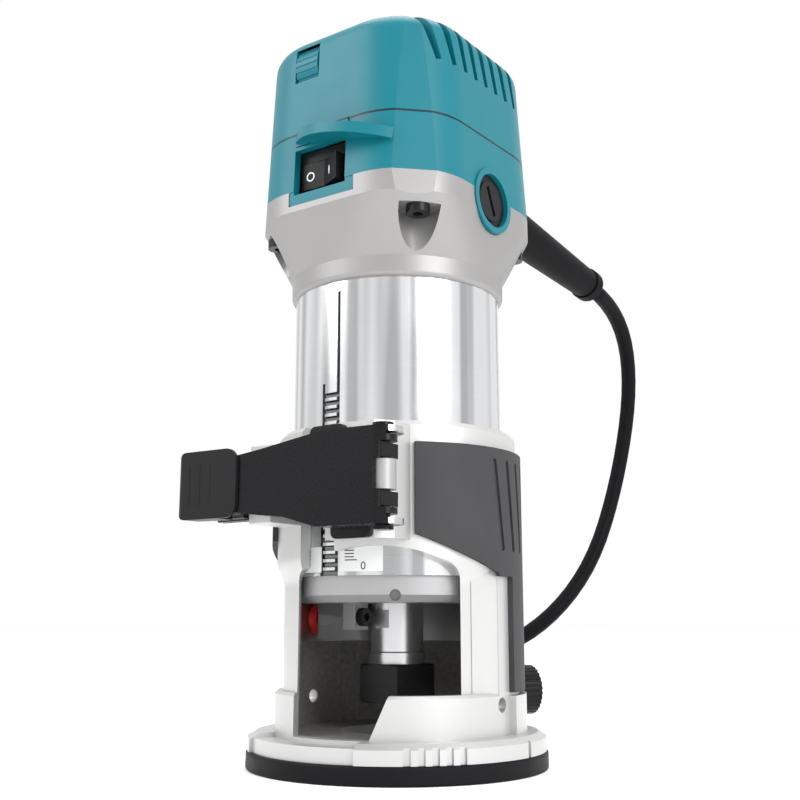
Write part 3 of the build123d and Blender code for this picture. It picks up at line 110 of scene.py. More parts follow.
class Value:
    """A shader socket in arithmetic: each operator adds its Math node."""

    def __init__(self, tree: "Tree", socket: Any) -> None:
        """Wrap a socket of a tree."""
        self.tree, self.socket = tree, socket

    def _math(self, operation: str, *terms: Any) -> "Value":
        """Add one Math node.

        Args:
            operation: the node's operation.
            terms: its inputs, values or numbers.

        Returns:
            The node's result.
        """
        return self.tree.node("ShaderNodeMath", {"operation": operation}, dict(enumerate(terms))).out(0)

    def __add__(self, other: Any) -> "Value":
        """Sum."""
        return self._math("ADD", self, other)

    def __radd__(self, other: Any) -> "Value":
        """Reflected sum."""
        return self._math("ADD", other, self)

    def __sub__(self, other: Any) -> "Value":
        """Difference."""
        return self._math("SUBTRACT", self, other)

    def __rsub__(self, other: Any) -> "Value":
        """Reflected difference."""
        return self._math("SUBTRACT", other, self)

    def __mul__(self, other: Any) -> "Value":
        """Product."""
        return self._math("MULTIPLY", self, other)

    def __rmul__(self, other: Any) -> "Value":
        """Reflected product."""
        return self._math("MULTIPLY", other, self)

    def __gt__(self, other: Any) -> "Value":
        """One where greater, zero elsewhere."""
        return self._math("GREATER_THAN", self, other)

    def __lt__(self, other: Any) -> "Value":
        """One where less, zero elsewhere."""
        return self._math("LESS_THAN", self, other)

    def sine(self) -> "Value":
        """Sine of the value."""
        return self._math("SINE", self)


class Added:
    """A node just added, with its outputs at hand."""

    def __init__(self, tree: "Tree", node: Any) -> None:
        """Keep the node and its tree."""
        self.tree, self.raw = tree, node

    def out(self, key: int | str) -> Value:
        """One output as a value."""
        return Value(self.tree, self.raw.outputs[key])


class Tree:
    """A material's node tree, built from Python expressions."""

    def __init__(self, name: str) -> None:
        """Make an empty material with its output and surface shader."""
        self.material = bpy.data.materials.new(name)
        self.material.use_nodes = True
        self.nodes = self.material.node_tree.nodes
        self.links = self.material.node_tree.links
        self.nodes.clear()
        self.surface = self.node("ShaderNodeBsdfPrincipled", {}, {})
        self.node("ShaderNodeOutputMaterial", {}, {"Surface": self.surface.out("BSDF")})
        self._place: Added | None = None

    def node(self, kind: str, settings: dict[str, Any], inputs: dict[Any, Any]) -> Added:
        """Add a node.

        Args:
            kind: the node's type.
            settings: properties that are set first.
            inputs: values or links of its sockets, by name or index.

        Returns:
            The node added.
        """
        raw = self.nodes.new(kind)
        for key, value in settings.items():
            if key == "stops":
                self._stops(raw, value)
            else:
                setattr(raw, key, value)
        for key, value in inputs.items():
            self.feed(raw.inputs[key], value)
        return Added(self, raw)

    def feed(self, socket: Any, value: Any) -> None:
        """Link a value to a socket, or set its number or colour."""
        if isinstance(value, Value):
            self.links.new(value.socket, socket)
        elif isinstance(value, tuple) and len(value) == 3 and socket.type == "RGBA":
            socket.default_value = (*value, 1.0)
        else:
            socket.default_value = value

    @staticmethod
    def _stops(raw: Any, stops: Sequence[tuple[float, float]]) -> None:
        """Set a ramp's grey stops."""
        elements = raw.color_ramp.elements
        while len(elements) < len(stops):
            elements.new(0.5)
        for element, (position, grey) in zip(elements, stops):
            element.position = position
            element.color = (grey, grey, grey, 1.0)

    def place(self) -> Value:
        """Object coordinates, in metres."""
        if self._place is None:
            self._place = self.node("ShaderNodeTexCoord", {}, {})
        return self._place.out("Object")

    def axes(self) -> tuple[Value, Value, Value]:
        """Object coordinates as three values."""
        split = self.node("ShaderNodeSeparateXYZ", {}, {0: self.place()})
        return split.out(0), split.out(1), split.out(2)

    def within(self, radius: float) -> Value:
        """One where the surface is nearer the Z axis than a radius, zero elsewhere."""
        across, away, _ = self.axes()
        return (across * across + away * away) < radius * radius

    def noise(self, scale: float, detail: float = 3.0, stretch: Point = (1, 1, 1)) -> Value:
        """Noise on the object's own coordinates.

        Args:
            scale: cells per metre.
            detail: octaves.
            stretch: scaling of each axis first.

        Returns:
            Noise from 0 to 1.
        """
        mapped = self.node("ShaderNodeMapping", {}, {0: self.place(), 3: stretch})
        inputs = {"Vector": mapped.out(0), "Scale": scale, "Detail": detail}
        return self.node("ShaderNodeTexNoise", {}, inputs).out(0)

    def ramp(self, value: Value, stops: Sequence[tuple[float, float]]) -> Value:
        """Pass a value through a grey ramp."""
        return self.node("ShaderNodeValToRGB", {"stops": stops}, {0: value}).out(0)

    def blend(self, factor: Any, first: Any, second: Any) -> Value:
        """Mix two colours by a factor."""
        mix = self.node("ShaderNodeMix", {"data_type": "RGBA"}, {0: factor, 6: first, 7: second})
        return mix.out(2)

    def bump(self, height: Value, depth: float, strength: float = 1.0) -> None:
        """Raise the surface by a height pattern of a depth in metres."""
        inputs = {"Height": height, "Distance": depth, "Strength": strength}
        self.set("Normal", self.node("ShaderNodeBump", {}, inputs).out(0))

    def set(self, name: str, value: Any) -> None:
        """Set or link a socket of the surface shader."""
        self.feed(self.surface.raw.inputs[name], value)


def finished(work: bmesh.types.BMesh, name: str) -> bpy.types.Mesh:
    """Turn a bmesh into a mesh with its faces outward."""
    bmesh.ops.recalc_face_normals(work, faces=work.faces)
    mesh = bpy.data.meshes.new(name)
    work.to_mesh(mesh)
    work.free()
    return mesh


def baked(holder: bpy.types.Object) -> bpy.types.Mesh:
    """Evaluate an object's curve or modifiers into a plain mesh, and remove the object.

    Args:
        holder: the object, not yet in the scene.

    Returns:
        The mesh it made.
    """
    bpy.context.scene.collection.objects.link(holder)
    graph = bpy.context.evaluated_depsgraph_get()
    mesh = bpy.data.meshes.new_from_object(holder.evaluated_get(graph))
    bpy.data.objects.remove(holder)
    return mesh


@dataclass(frozen=True)
class Finish:
    """Base of the finishes: a colour, how rough it is, and how much it varies."""

    name: str
    colour: Colour
    roughness: float = 0.5
    variation: float = 0.08

    def build(self) -> bpy.types.Material:
        """Make the material."""
        tree = Tree(self.name)
        self.paint(tree)
        return tree.material

    def shade(self, amount: float) -> Colour:
        """The colour made lighter or darker by a factor."""
        return tuple(min(1.0, channel * amount) for channel in self.colour)  # type: ignore

    def clouded(self, tree: Tree, scale: float) -> Value:
        """The colour with soft clouds of its variation in it."""
        return tree.blend(tree.noise(scale), self.shade(1 - self.variation), self.shade(1 + self.variation))

    def paint(self, tree: Tree) -> None:
        """Fill the tree; each kind of finish has its own way."""
        raise NotImplementedError


@dataclass(frozen=True)
class PaintedCasting(Finish):
    """Silver paint with flakes over a die casting."""

    flake_scale: float = 3500.0

    def paint(self, tree: Tree) -> None:
        """Fine flakes, a slight orange peel, and half-metallic sheen."""
        flakes = tree.noise(self.flake_scale, 1.0)
        tree.set("Base Color", tree.blend(flakes * 0.35, self.clouded(tree, 35.0), self.shade(1.35)))
        tree.set("Metallic", 0.45)
        tree.set("Roughness", self.roughness - 0.05 + 0.1 * flakes)
        tree.bump(tree.noise(1400.0, 2.0), 0.00003, 0.35)


@dataclass(frozen=True)
class BoredCasting(PaintedCasting):
    """The painted casting with an unpainted inside, dark as cast below the bright bore."""

    wall: float = 0.0335
    floor: float = 0.0105
    bore: float = 0.036
    rough_colours: tuple[Colour, Colour] = ((0.16, 0.155, 0.145), (0.36, 0.35, 0.33))
    turned_colour: Colour = (0.62, 0.62, 0.63)

    def paint(self, tree: Tree) -> None:
        """Paint outside; inside the wall, rough metal low down and turned metal above."""
        _, _, height = tree.axes()
        raised = tree.within(self.wall) * (height > self.floor)
        turned = raised * (height > self.bore)
        rough = raised * (height < self.bore)
        flakes = tree.noise(self.flake_scale, 1.0)
        sand = tree.noise(700.0, 4.0)
        sparkle = tree.blend(flakes * 0.35, self.colour, self.shade(1.35))
        lined = tree.blend(rough, sparkle, tree.blend(sand, *self.rough_colours))
        tree.set("Base Color", tree.blend(turned, lined, self.turned_colour))
        tree.set("Metallic", 0.45 + 0.5 * turned)
        tree.set("Roughness", (self.roughness - 0.05 + 0.1 * flakes) + 0.15 * rough)
        tree.bump(flakes * 0.3 + sand * rough, 0.00004, 0.35)


@dataclass(frozen=True)
class TurnedMetal(Finish):
    """Polished or turned metal with fine rings round the Z axis.

    Reflection darkness is how dark its painted reflection streaks are, and below the sunk radius its cuts
    carry painted shade.
    """

    rings: float = 9000.0
    depth: float = 0.000006
    reflection_darkness: float = 0.0
    # radius below which surfaces get painted shade; zero for none
    sunk: float = 0.0

    def paint(self, tree: Tree) -> None:
        """Rings vary along Z only; broad dark streaks along Z are painted reflections."""
        lines = tree.noise(self.rings, 2.0, (0.002, 0.002, 1.0))
        marks = tree.ramp(tree.noise(90.0, 5.0, (1, 1, 0.35)), ((0.5, 0.0), (0.72, 1.0)))
        # painted reflection: broad dark streaks along Z, mixed into the colour below
        reflection_streaks = tree.noise(150.0, 1.0, (1.0, 1.0, 0.02))
        shade = tree.ramp(reflection_streaks, ((0.44, 0.0), (0.56, 1.0))) * self.reflection_darkness
        tone = tree.blend(lines, self.shade(0.94), self.shade(1.04))
        reflected_tone = tree.blend(shade, tone, self.shade(0.3))
        # painted shade: surfaces below the sunk radius, such as the rack's cuts, are darkened
        tree.set("Base Color", tree.blend(tree.within(self.sunk), reflected_tone, self.shade(0.25)))
        tree.set("Metallic", 1.0)
        tree.set("Roughness", self.roughness + 0.06 * lines + 0.08 * marks)
        tree.bump(lines, self.depth, 0.4)


@dataclass(frozen=True)
class BlackedSteel(Finish):
    """Blackened or painted steel, with a painted highlight beyond a plane along X."""

    highlight_beyond: float = 1.0
    metal: float = 0.35
    highlight_colour: Colour = (0.55, 0.55, 0.56)

    def paint(self, tree: Tree) -> None:
        """Satin black with a fine grain, and a painted highlight of bright metal along one edge."""
        across, _, _ = tree.axes()
        edge = tree.noise(900.0, 3.0) * 0.0006
        # painted highlight: bright metal colour beyond the plane, with a ragged border
        highlight = (across + edge) > self.highlight_beyond
        grain = tree.noise(2600.0, 2.0)
        black = tree.blend(grain, self.shade(0.8), self.shade(1.3))
        tree.set("Specular IOR Level", 0.2)
        tree.set("Base Color", tree.blend(highlight, black, self.highlight_colour))
        tree.set("Metallic", self.metal + highlight * (1.0 - self.metal))
        tree.set("Roughness", self.roughness - 0.05 + grain * 0.12)
        tree.bump(grain, 0.00003, 0.3)


@dataclass(frozen=True)
class MouldedPlastic(Finish):
    """Injection-moulded plastic with a spark-eroded grain."""

    grain: float = 2200.0
    depth: float = 0.00004
    sheen: float = 0.25
    flow: float = 30.0

    def skin(self, tree: Tree, colour: Value) -> None:
        """Set the colour, the sheen, and a gloss that varies finer than the flow does."""
        tree.set("Base Color", colour)
        tree.set("Roughness", (self.roughness - 0.06) + 0.12 * tree.noise(self.flow * 6))
        tree.set("Specular IOR Level", self.sheen)

    def paint(self, tree: Tree) -> None:
        """Grain in the bump, with a faint flow variation in the colour."""
        self.skin(tree, self.clouded(tree, self.flow))
        tree.bump(tree.noise(self.grain, 2.0), self.depth, 0.35)


@dataclass(frozen=True)
class SeamedPlastic(MouldedPlastic):
    """Moulded plastic with the dark line where its two halves meet at one height."""

    seam: float = 0.1904
    width: float = 0.00035

    def paint(self, tree: Tree) -> None:
        """Flow variation in the colour, broken by the seam."""
        _, _, height = tree.axes()
        line = (height > self.seam - self.width) * (height < self.seam + self.width)
        self.skin(tree, tree.blend(line, self.clouded(tree, self.flow), self.shade(0.12)))
        tree.bump(tree.noise(self.grain, 2.0) - 2.0 * line, self.depth, 0.35)


@dataclass(frozen=True)
class GripRubber(Finish):
    """Moulded rubber with a dry, dusty bloom."""

    def paint(self, tree: Tree) -> None:
        """Bloom lightens the rubber in patches; the skin is finely pebbled."""
        bloom = tree.ramp(tree.noise(60.0, 6.0), ((0.45, 0.0), (0.75, 1.0)))
        tree.set("Base Color", tree.blend(bloom * 0.5, self.colour, self.shade(1.5)))
        tree.set("Roughness", self.roughness + 0.1 * bloom)
        tree.set("Specular IOR Level", 0.25)
        tree.bump(tree.noise(1800.0, 3.0), 0.00008, 0.5)


@dataclass(frozen=True)
class WoundCopper(Finish):
    """Enamelled copper wire, seen as fine windings."""

    wires: float = 5200.0

    def paint(self, tree: Tree) -> None:
        """Wires run round the stack, so the pattern varies along Z."""
        _, _, height = tree.axes()
        strands = (height * self.wires).sine() * 0.5 + 0.5
        tree.set("Base Color", tree.blend(strands, self.shade(0.6), self.shade(1.15)))
        tree.set("Metallic", 0.8)
        tree.set("Roughness", self.roughness)
        tree.bump(strands, 0.0002, 0.6)


@dataclass(frozen=True)
class StackedSteel(Finish):
    """Stacked steel laminations."""

    sheets: float = 9000.0

    def paint(self, tree: Tree) -> None:
        """Thin sheets show as bands along Z, a little stained."""
        _, _, height = tree.axes()
        bands = (height * self.sheets).sine() * 0.5 + 0.5
        stain = tree.noise(120.0, 4.0)
        tree.set("Base Color", tree.blend(bands * 0.5 + stain * 0.4, self.shade(0.6), self.shade(1.2)))
        tree.set("Metallic", 0.9)
        tree.set("Roughness", self.roughness)
        tree.bump(bands, 0.00005, 0.5)


@dataclass(frozen=True)
class Palette:
    """Every finish of the tool, and the CAD nodes that wear it."""

    bored: Finish = BoredCasting("bored_casting", (0.46, 0.46, 0.455), 0.38, 0.04)
    housing: Finish = PaintedCasting("housing_casting_paint", (0.255, 0.25, 0.248), 0.42, 0.08)
    raw: Finish = PaintedCasting("raw_casting", (0.30, 0.30, 0.305), 0.45, 0.1)
    # the barrel's painted reflection streaks, and painted shade in the rack's cuts below the sunk radius
    barrel: Finish = TurnedMetal("polished_barrel", (0.74, 0.75, 0.76), 0.12, reflection_darkness=0.6, sunk=0.0321)
    bright: Finish = TurnedMetal("bright_steel", (0.56, 0.56, 0.57), 0.26, rings=5000.0)
    # the lever's painted highlight starts at this X
    lever: Finish = BlackedSteel("lever_black_steel", (0.008, 0.008, 0.009), 0.26, highlight_beyond=0.0327)
    black_steel: Finish = BlackedSteel("black_oxide_steel", (0.014, 0.014, 0.015), 0.32, metal=0.5)
    plate: Finish = MouldedPlastic("base_plate_plastic", (0.006, 0.006, 0.007), 0.5, grain=900.0, sheen=0.1)
    rubber: Finish = GripRubber("grip_rubber", (0.036, 0.036, 0.038), 0.62)
    cap: Finish = SeamedPlastic("cap_plastic", (0.0, 0.13, 0.165), 0.38, 0.05, sheen=0.3)
    dark: Finish = MouldedPlastic("black_plastic", (0.008, 0.008, 0.009), 0.42, sheen=0.16)
    fan: Finish = MouldedPlastic("fan_nylon", (0.05, 0.05, 0.05), 0.5)
    red: Finish = MouldedPlastic("red_button_plastic", (0.62, 0.02, 0.018), 0.3, depth=0.00001)
    label: Finish = MouldedPlastic("scale_label", (0.62, 0.63, 0.63), 0.35, depth=0.000005)
    marks: Finish = MouldedPlastic("printed_marks", (0.02, 0.02, 0.02), 0.5, depth=0.000002)
    light_marks: Finish = MouldedPlastic("light_marks", (0.75, 0.76, 0.76), 0.5, depth=0.000002)
    carbon: Finish = MouldedPlastic("brush_carbon", (0.03, 0.03, 0.03), 0.6)
    board: Finish = MouldedPlastic("board_laminate", (0.02, 0.12, 0.05), 0.4)
    cord: Finish = MouldedPlastic("cord_sheath", (0.005, 0.005, 0.006), 0.5, grain=1200.0, sheen=0.06)
    pins: Finish = TurnedMetal("plated_pins", (0.70, 0.62, 0.42), 0.2)
    copper: Finish = WoundCopper("wound_copper", (0.62, 0.27, 0.12), 0.35)
    stack: Finish = StackedSteel("stacked_steel", (0.3, 0.3, 0.31), 0.45)

    def worn_by(self) -> dict[str, tuple[str, ...]]:
        """CAD nodes under the field name of their finish."""
        return {
            "housing": ("upper_housing",),
            "bored": ("base_casting",),
            "raw": ("bearing_box", "draw_bolt"),
            "barrel": ("motor_barrel",),
            "bright": (
                "collet", "armature_shaft", "pinion", "pinion_shaft", "shaft_lock_spring", "brush_springs",
                "lower_bearing_outer_ring", "lower_bearing_inner_ring", "upper_bearing_outer_ring",
                "upper_bearing_inner_ring",
            ),
            "lever": ("clamp_lever", "hinge_pin"),
            "black_steel": (
                "collet_nut", "clamp_bracket", "clamp_nut", "housing_screws", "shaft_lock_screw",
                "plate_screws", "guide_thumb_screw", "height_knob", "cord_clamp_screws",
            ),
            "plate": ("base_plate",),
            "rubber": ("left_grip", "right_grip"),
            "cap": ("lower_cover", "top_cover", "speed_dial"),
            "dark": (
                "lever_thumb_pad", "rocker", "switch_body", "brush_holders", "brush_caps", "pinion_bush",
                "bearing_sleeve", "cord_clamp", "dial_potentiometer",
            ),
            "fan": ("cooling_fan",),
            "red": ("shaft_lock_button",),
            "label": ("depth_scale",),
            "carbon": ("carbon_brushes",),
            "board": ("control_board",),
            "cord": ("cord_guard", "plug"),
            "pins": ("plug_pins",),
            "copper": ("armature_windings", "field_coils", "commutator"),
            "stack": ("armature_core", "stator_core"),
        }


class Workshop:
    """Shared making of meshes, objects and materials."""

    def __init__(self, palette: Palette) -> None:
        """Build every finish once."""
        names = palette.__dataclass_fields__
        self.materials = {name: getattr(palette, name).build() for name in names}

    def piece(self, name: str, mesh: bpy.types.Mesh, finish: str, body: Body) -> bpy.types.Object:
        """Put a finished mesh in the scene as one piece.

        Args:
            name: the piece's name.
            mesh: its mesh, in the row frame.
            finish: the palette field of its finish.
            body: the body it rides on.

        Returns:
            The object made.
        """
        mesh.materials.clear()
        mesh.materials.append(self.materials[finish])
        item = bpy.data.objects.new(name, mesh)
        bpy.context.scene.collection.objects.link(item)
        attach(item, body.value)
        LOG.info("piece %s on %s", name, body.value)
        return item

    def dress(self, nodes: dict[str, bpy.types.Object], palette: Palette) -> None:
        """Give every CAD node its finish."""
        for finish, names in palette.worn_by().items():
            for name in names:
                mesh = nodes[name].data
                mesh.materials.clear()
                mesh.materials.append(self.materials[finish])
                LOG.info("node %s wears %s", name, finish)


@dataclass
class Repeats:
    """A Geometry Nodes tree that sets bars in a row round the Z axis, or in a stack up it."""

    name: str
    count: int
    bar: Point
    radius: float
    start: float
    step: float
    rise: float
    lift: float = 0.0

    def tree(self, material: bpy.types.Material) -> bpy.types.GeometryNodeTree:
        """Build the node tree with named inputs for its sizes."""
        group = bpy.data.node_groups.new(self.name, "GeometryNodeTree")
        sockets = {"Bar": "Vector", "Count": "Int", "Start": "Float", "Step": "Float",
                   "Radius": "Float", "Height": "Float", "Lift": "Float"}
        for name, kind in sockets.items():
            group.interface.new_socket(name, in_out="INPUT", socket_type=f"NodeSocket{kind}")
        group.interface.new_socket("Geometry", in_out="OUTPUT", socket_type="NodeSocketGeometry")
        add, link = group.nodes.new, group.links.new

        def maths(operation: str, *terms: Any) -> bpy.types.NodeSocket:
            """Add a Math node fed by sockets or numbers."""
            node = add("ShaderNodeMath")
            node.operation = operation
            for socket, term in zip(node.inputs, terms):
                if isinstance(term, float):
                    socket.default_value = term
                else:
                    link(term, socket)
            return node.outputs[0]

        given = add("NodeGroupInput").outputs
        index = add("GeometryNodeInputIndex").outputs[0]
        points, cube = add("GeometryNodeMeshLine"), add("GeometryNodeMeshCube")
        points.inputs["Offset"].default_value = (0, 0, 0)
        link(given["Count"], points.inputs["Count"])
        link(given["Bar"], cube.inputs["Size"])
        bearing = maths("ADD", maths("MULTIPLY", index, given["Step"]), given["Start"])
        away = maths("MULTIPLY", maths("COSINE", bearing), given["Radius"])
        spot, facing = add("ShaderNodeCombineXYZ"), add("ShaderNodeCombineXYZ")
        link(maths("MULTIPLY", maths("SINE", bearing), given["Radius"]), spot.inputs[0])
        link(maths("MULTIPLY", away, -1.0), spot.inputs[1])
        link(maths("ADD", maths("MULTIPLY", index, given["Lift"]), given["Height"]), spot.inputs[2])
        link(bearing, facing.inputs[2])
        placed, spread = add("GeometryNodeSetPosition"), add("GeometryNodeInstanceOnPoints")
        link(points.outputs[0], placed.inputs["Geometry"])
        link(spot.outputs[0], placed.inputs["Position"])
        link(placed.outputs[0], spread.inputs["Points"])
        link(cube.outputs["Mesh"], spread.inputs["Instance"])
        link(facing.outputs[0], spread.inputs["Rotation"])
        real, dressed = add("GeometryNodeRealizeInstances"), add("GeometryNodeSetMaterial")
        link(spread.outputs[0], real.inputs[0])
        link(real.outputs[0], dressed.inputs["Geometry"])
        dressed.inputs["Material"].default_value = material
        link(dressed.outputs[0], add("NodeGroupOutput").inputs[0])
        return group

    def mesh(self, material: bpy.types.Material) -> bpy.types.Mesh:
        """Evaluate the tree into a plain mesh.

        Args:
            material: the finish the bars carry.

        Returns:
            The mesh of all the bars.
        """
        holder = bpy.data.objects.new(self.name, bpy.data.meshes.new(self.name))
        modifier = holder.modifiers.new("bars", "NODES")
        modifier.node_group = self.tree(material)
        values = {
            "Bar": self.bar, "Count": self.count, "Start": self.start,
            "Step": self.step, "Radius": self.radius, "Height": self.rise, "Lift": self.lift,
        }
        for socket in modifier.node_group.interface.items_tree:
            if socket.in_out == "INPUT":
                modifier[socket.identifier] = values[socket.name]
        return baked(holder)


@dataclass
class DepthScale:
    """Printed depth scale round the barrel's lower edge: lines and a nought on each side of the rack."""

    radius: float = 0.03247
    stroke: float = 0.00030
    ink: float = 0.00004
    stacks: tuple[Tick, ...] = (
        Tick("scale_ticks_left", -16.5, 3, 0.0020, 0.0600, 0.0010),
        Tick("scale_ticks_right", 11.2, 4, 0.0029, 0.0602, 0.0009),
        Tick("scale_long_tick", 12.1, 1, 0.0038, 0.0593, 0.0),
    )
    noughts: tuple[tuple[str, float], ...] = (("left", -18.5), ("right", 18.8))
    digit: float = 0.0032
    digit_foot: float = 0.0566

    def build(self, shop: Workshop) -> None:
        """Print every stack of lines, then the noughts."""
        ink = shop.materials["marks"]
        for tick in self.stacks:
            row = Repeats(tick.name, tick.count, (tick.wide, self.ink, self.stroke), self.radius,
                          math.radians(tick.bearing), 0.0, tick.low, tick.spacing)
            shop.piece(tick.name, row.mesh(ink), "marks", Body.MOTOR)
        for side, bearing in self.noughts:
            self.nought(shop, side, bearing)

    def nought(self, shop: Workshop, side: str, bearing: float) -> None:
        """Wrap one nought round the barrel.

        Args:
            shop: the workshop.
            side: which side of the rack it stands.
            bearing: where it stands, in degrees.
        """
        curve = bpy.data.curves.new("digits", "FONT")
        curve.body, curve.size, curve.extrude = "0", self.digit, self.ink / 2
        curve.align_x = "CENTER"
        mesh = baked(bpy.data.objects.new("digits", curve))
        for vertex in mesh.vertices:
            turn = math.radians(bearing) + vertex.co.x / self.radius
            out = self.radius + vertex.co.z
            lifted = self.digit_foot + vertex.co.y
            vertex.co = Vector((out * math.sin(turn), -out * math.cos(turn), lifted))
        shop.piece(f"scale_number_{side}", mesh, "marks", Body.MOTOR)


@dataclass
class RockerMarks:
    """Raised ring and bar on the rocker's two sloping halves."""

    thickness: float = 0.00012
    sides: int = 28
    slope: float = math.radians(14.4)
    turn: float = math.radians(-11.0)
    ridge: tuple[float, float] = (-0.0016, -0.0334)
    proud: float = 0.00195
    drop: float = 0.0002
    marks: tuple[Mark, ...] = (
        Mark("rocker_ring", -0.0050, 0.0011, 0.0015, 1.0),
        Mark("rocker_bar", 0.0034, 0.0, 0.00028, 5.0),
    )

    def build(self, shop: Workshop) -> None:
        """Lay the ring on the left half and the bar on the right one."""
        low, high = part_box("rocker")
        middle = (low[2] + high[2]) / 2 - self.drop
        face = Matrix.Translation((*self.ridge, middle)) @ Matrix.Rotation(self.turn, 4, "Z")
        for mark in self.marks:
            depth = -self.proud - abs(mark.along) * math.tan(self.slope)
            angle = self.slope if mark.along < 0 else -self.slope
            spot = Matrix.Translation((mark.along, depth, 0)) @ Matrix.Rotation(angle, 4, "Z")
            mesh = self.ring(mark)
            mesh.transform(face @ spot)
            shop.piece(mark.name, mesh, "light_marks", Body.ROCKER)

    def ring(self, mark: Mark) -> bpy.types.Mesh:
        """Make a flat closed ring, or a bar where the mark has no inner radius.

        Args:
            mark: the mark's radii and stretch.

        Returns:
            The mesh, lying in the XZ plane.
        """
        work = bmesh.new()
        turns = [2 * math.pi * index / self.sides for index in range(self.sides)]
        radii = (mark.outer, mark.inner) if mark.inner > 0 else (mark.outer,)
        loops = [
            [
                work.verts.new((radius * math.sin(turn), -back, radius * mark.tall * math.cos(turn)))
                for turn in turns
            ]
            for radius in radii
            for back in (0.0, self.thickness)
        ]
        pairs = ((0, 1), (1, 3), (3, 2), (2, 0)) if mark.inner > 0 else ((0, 1),)
        for first, second in pairs:
            for i in range(self.sides):
                j = (i + 1) % self.sides
                work.faces.new((loops[first][i], loops[first][j], loops[second][j], loops[second][i]))
        if mark.inner <= 0:
            work.faces.new(loops[0])
            work.faces.new(list(reversed(loops[1])))
        return finished(work, mark.name)


@dataclass
class PadRibs:
    """Three faint ribs on the lever's thumb pad, whose face leans along X."""

    bar: Point = (0.0007, 0.0005, 0.0115)
    spacing: float = 0.0040
    first: tuple[float, float] = (-0.0350, -0.0550)
    pad_middle: float = -0.0286
    lean: float = 0.0444
    sunk: float = 0.00016

    def build(self, shop: Workshop) -> None:
        """Set the ribs upright on the pad's face."""
        low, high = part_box("lever_thumb_pad")
        middle = (low[2] + high[2]) / 2
        row = Repeats("thumb_pad_ribs", 3, self.bar, 1.0, 0.0, self.spacing, middle)
        mesh = row.mesh(shop.materials["dark"])
        slide = Vector((self.first[0], self.first[1] + row.radius, 0))
        for vertex in mesh.vertices:
            vertex.co += slide
            vertex.co.y += (vertex.co.x - self.pad_middle) * self.lean + self.sunk
        shop.piece("thumb_pad_ribs", mesh, "dark", Body.LEVER)


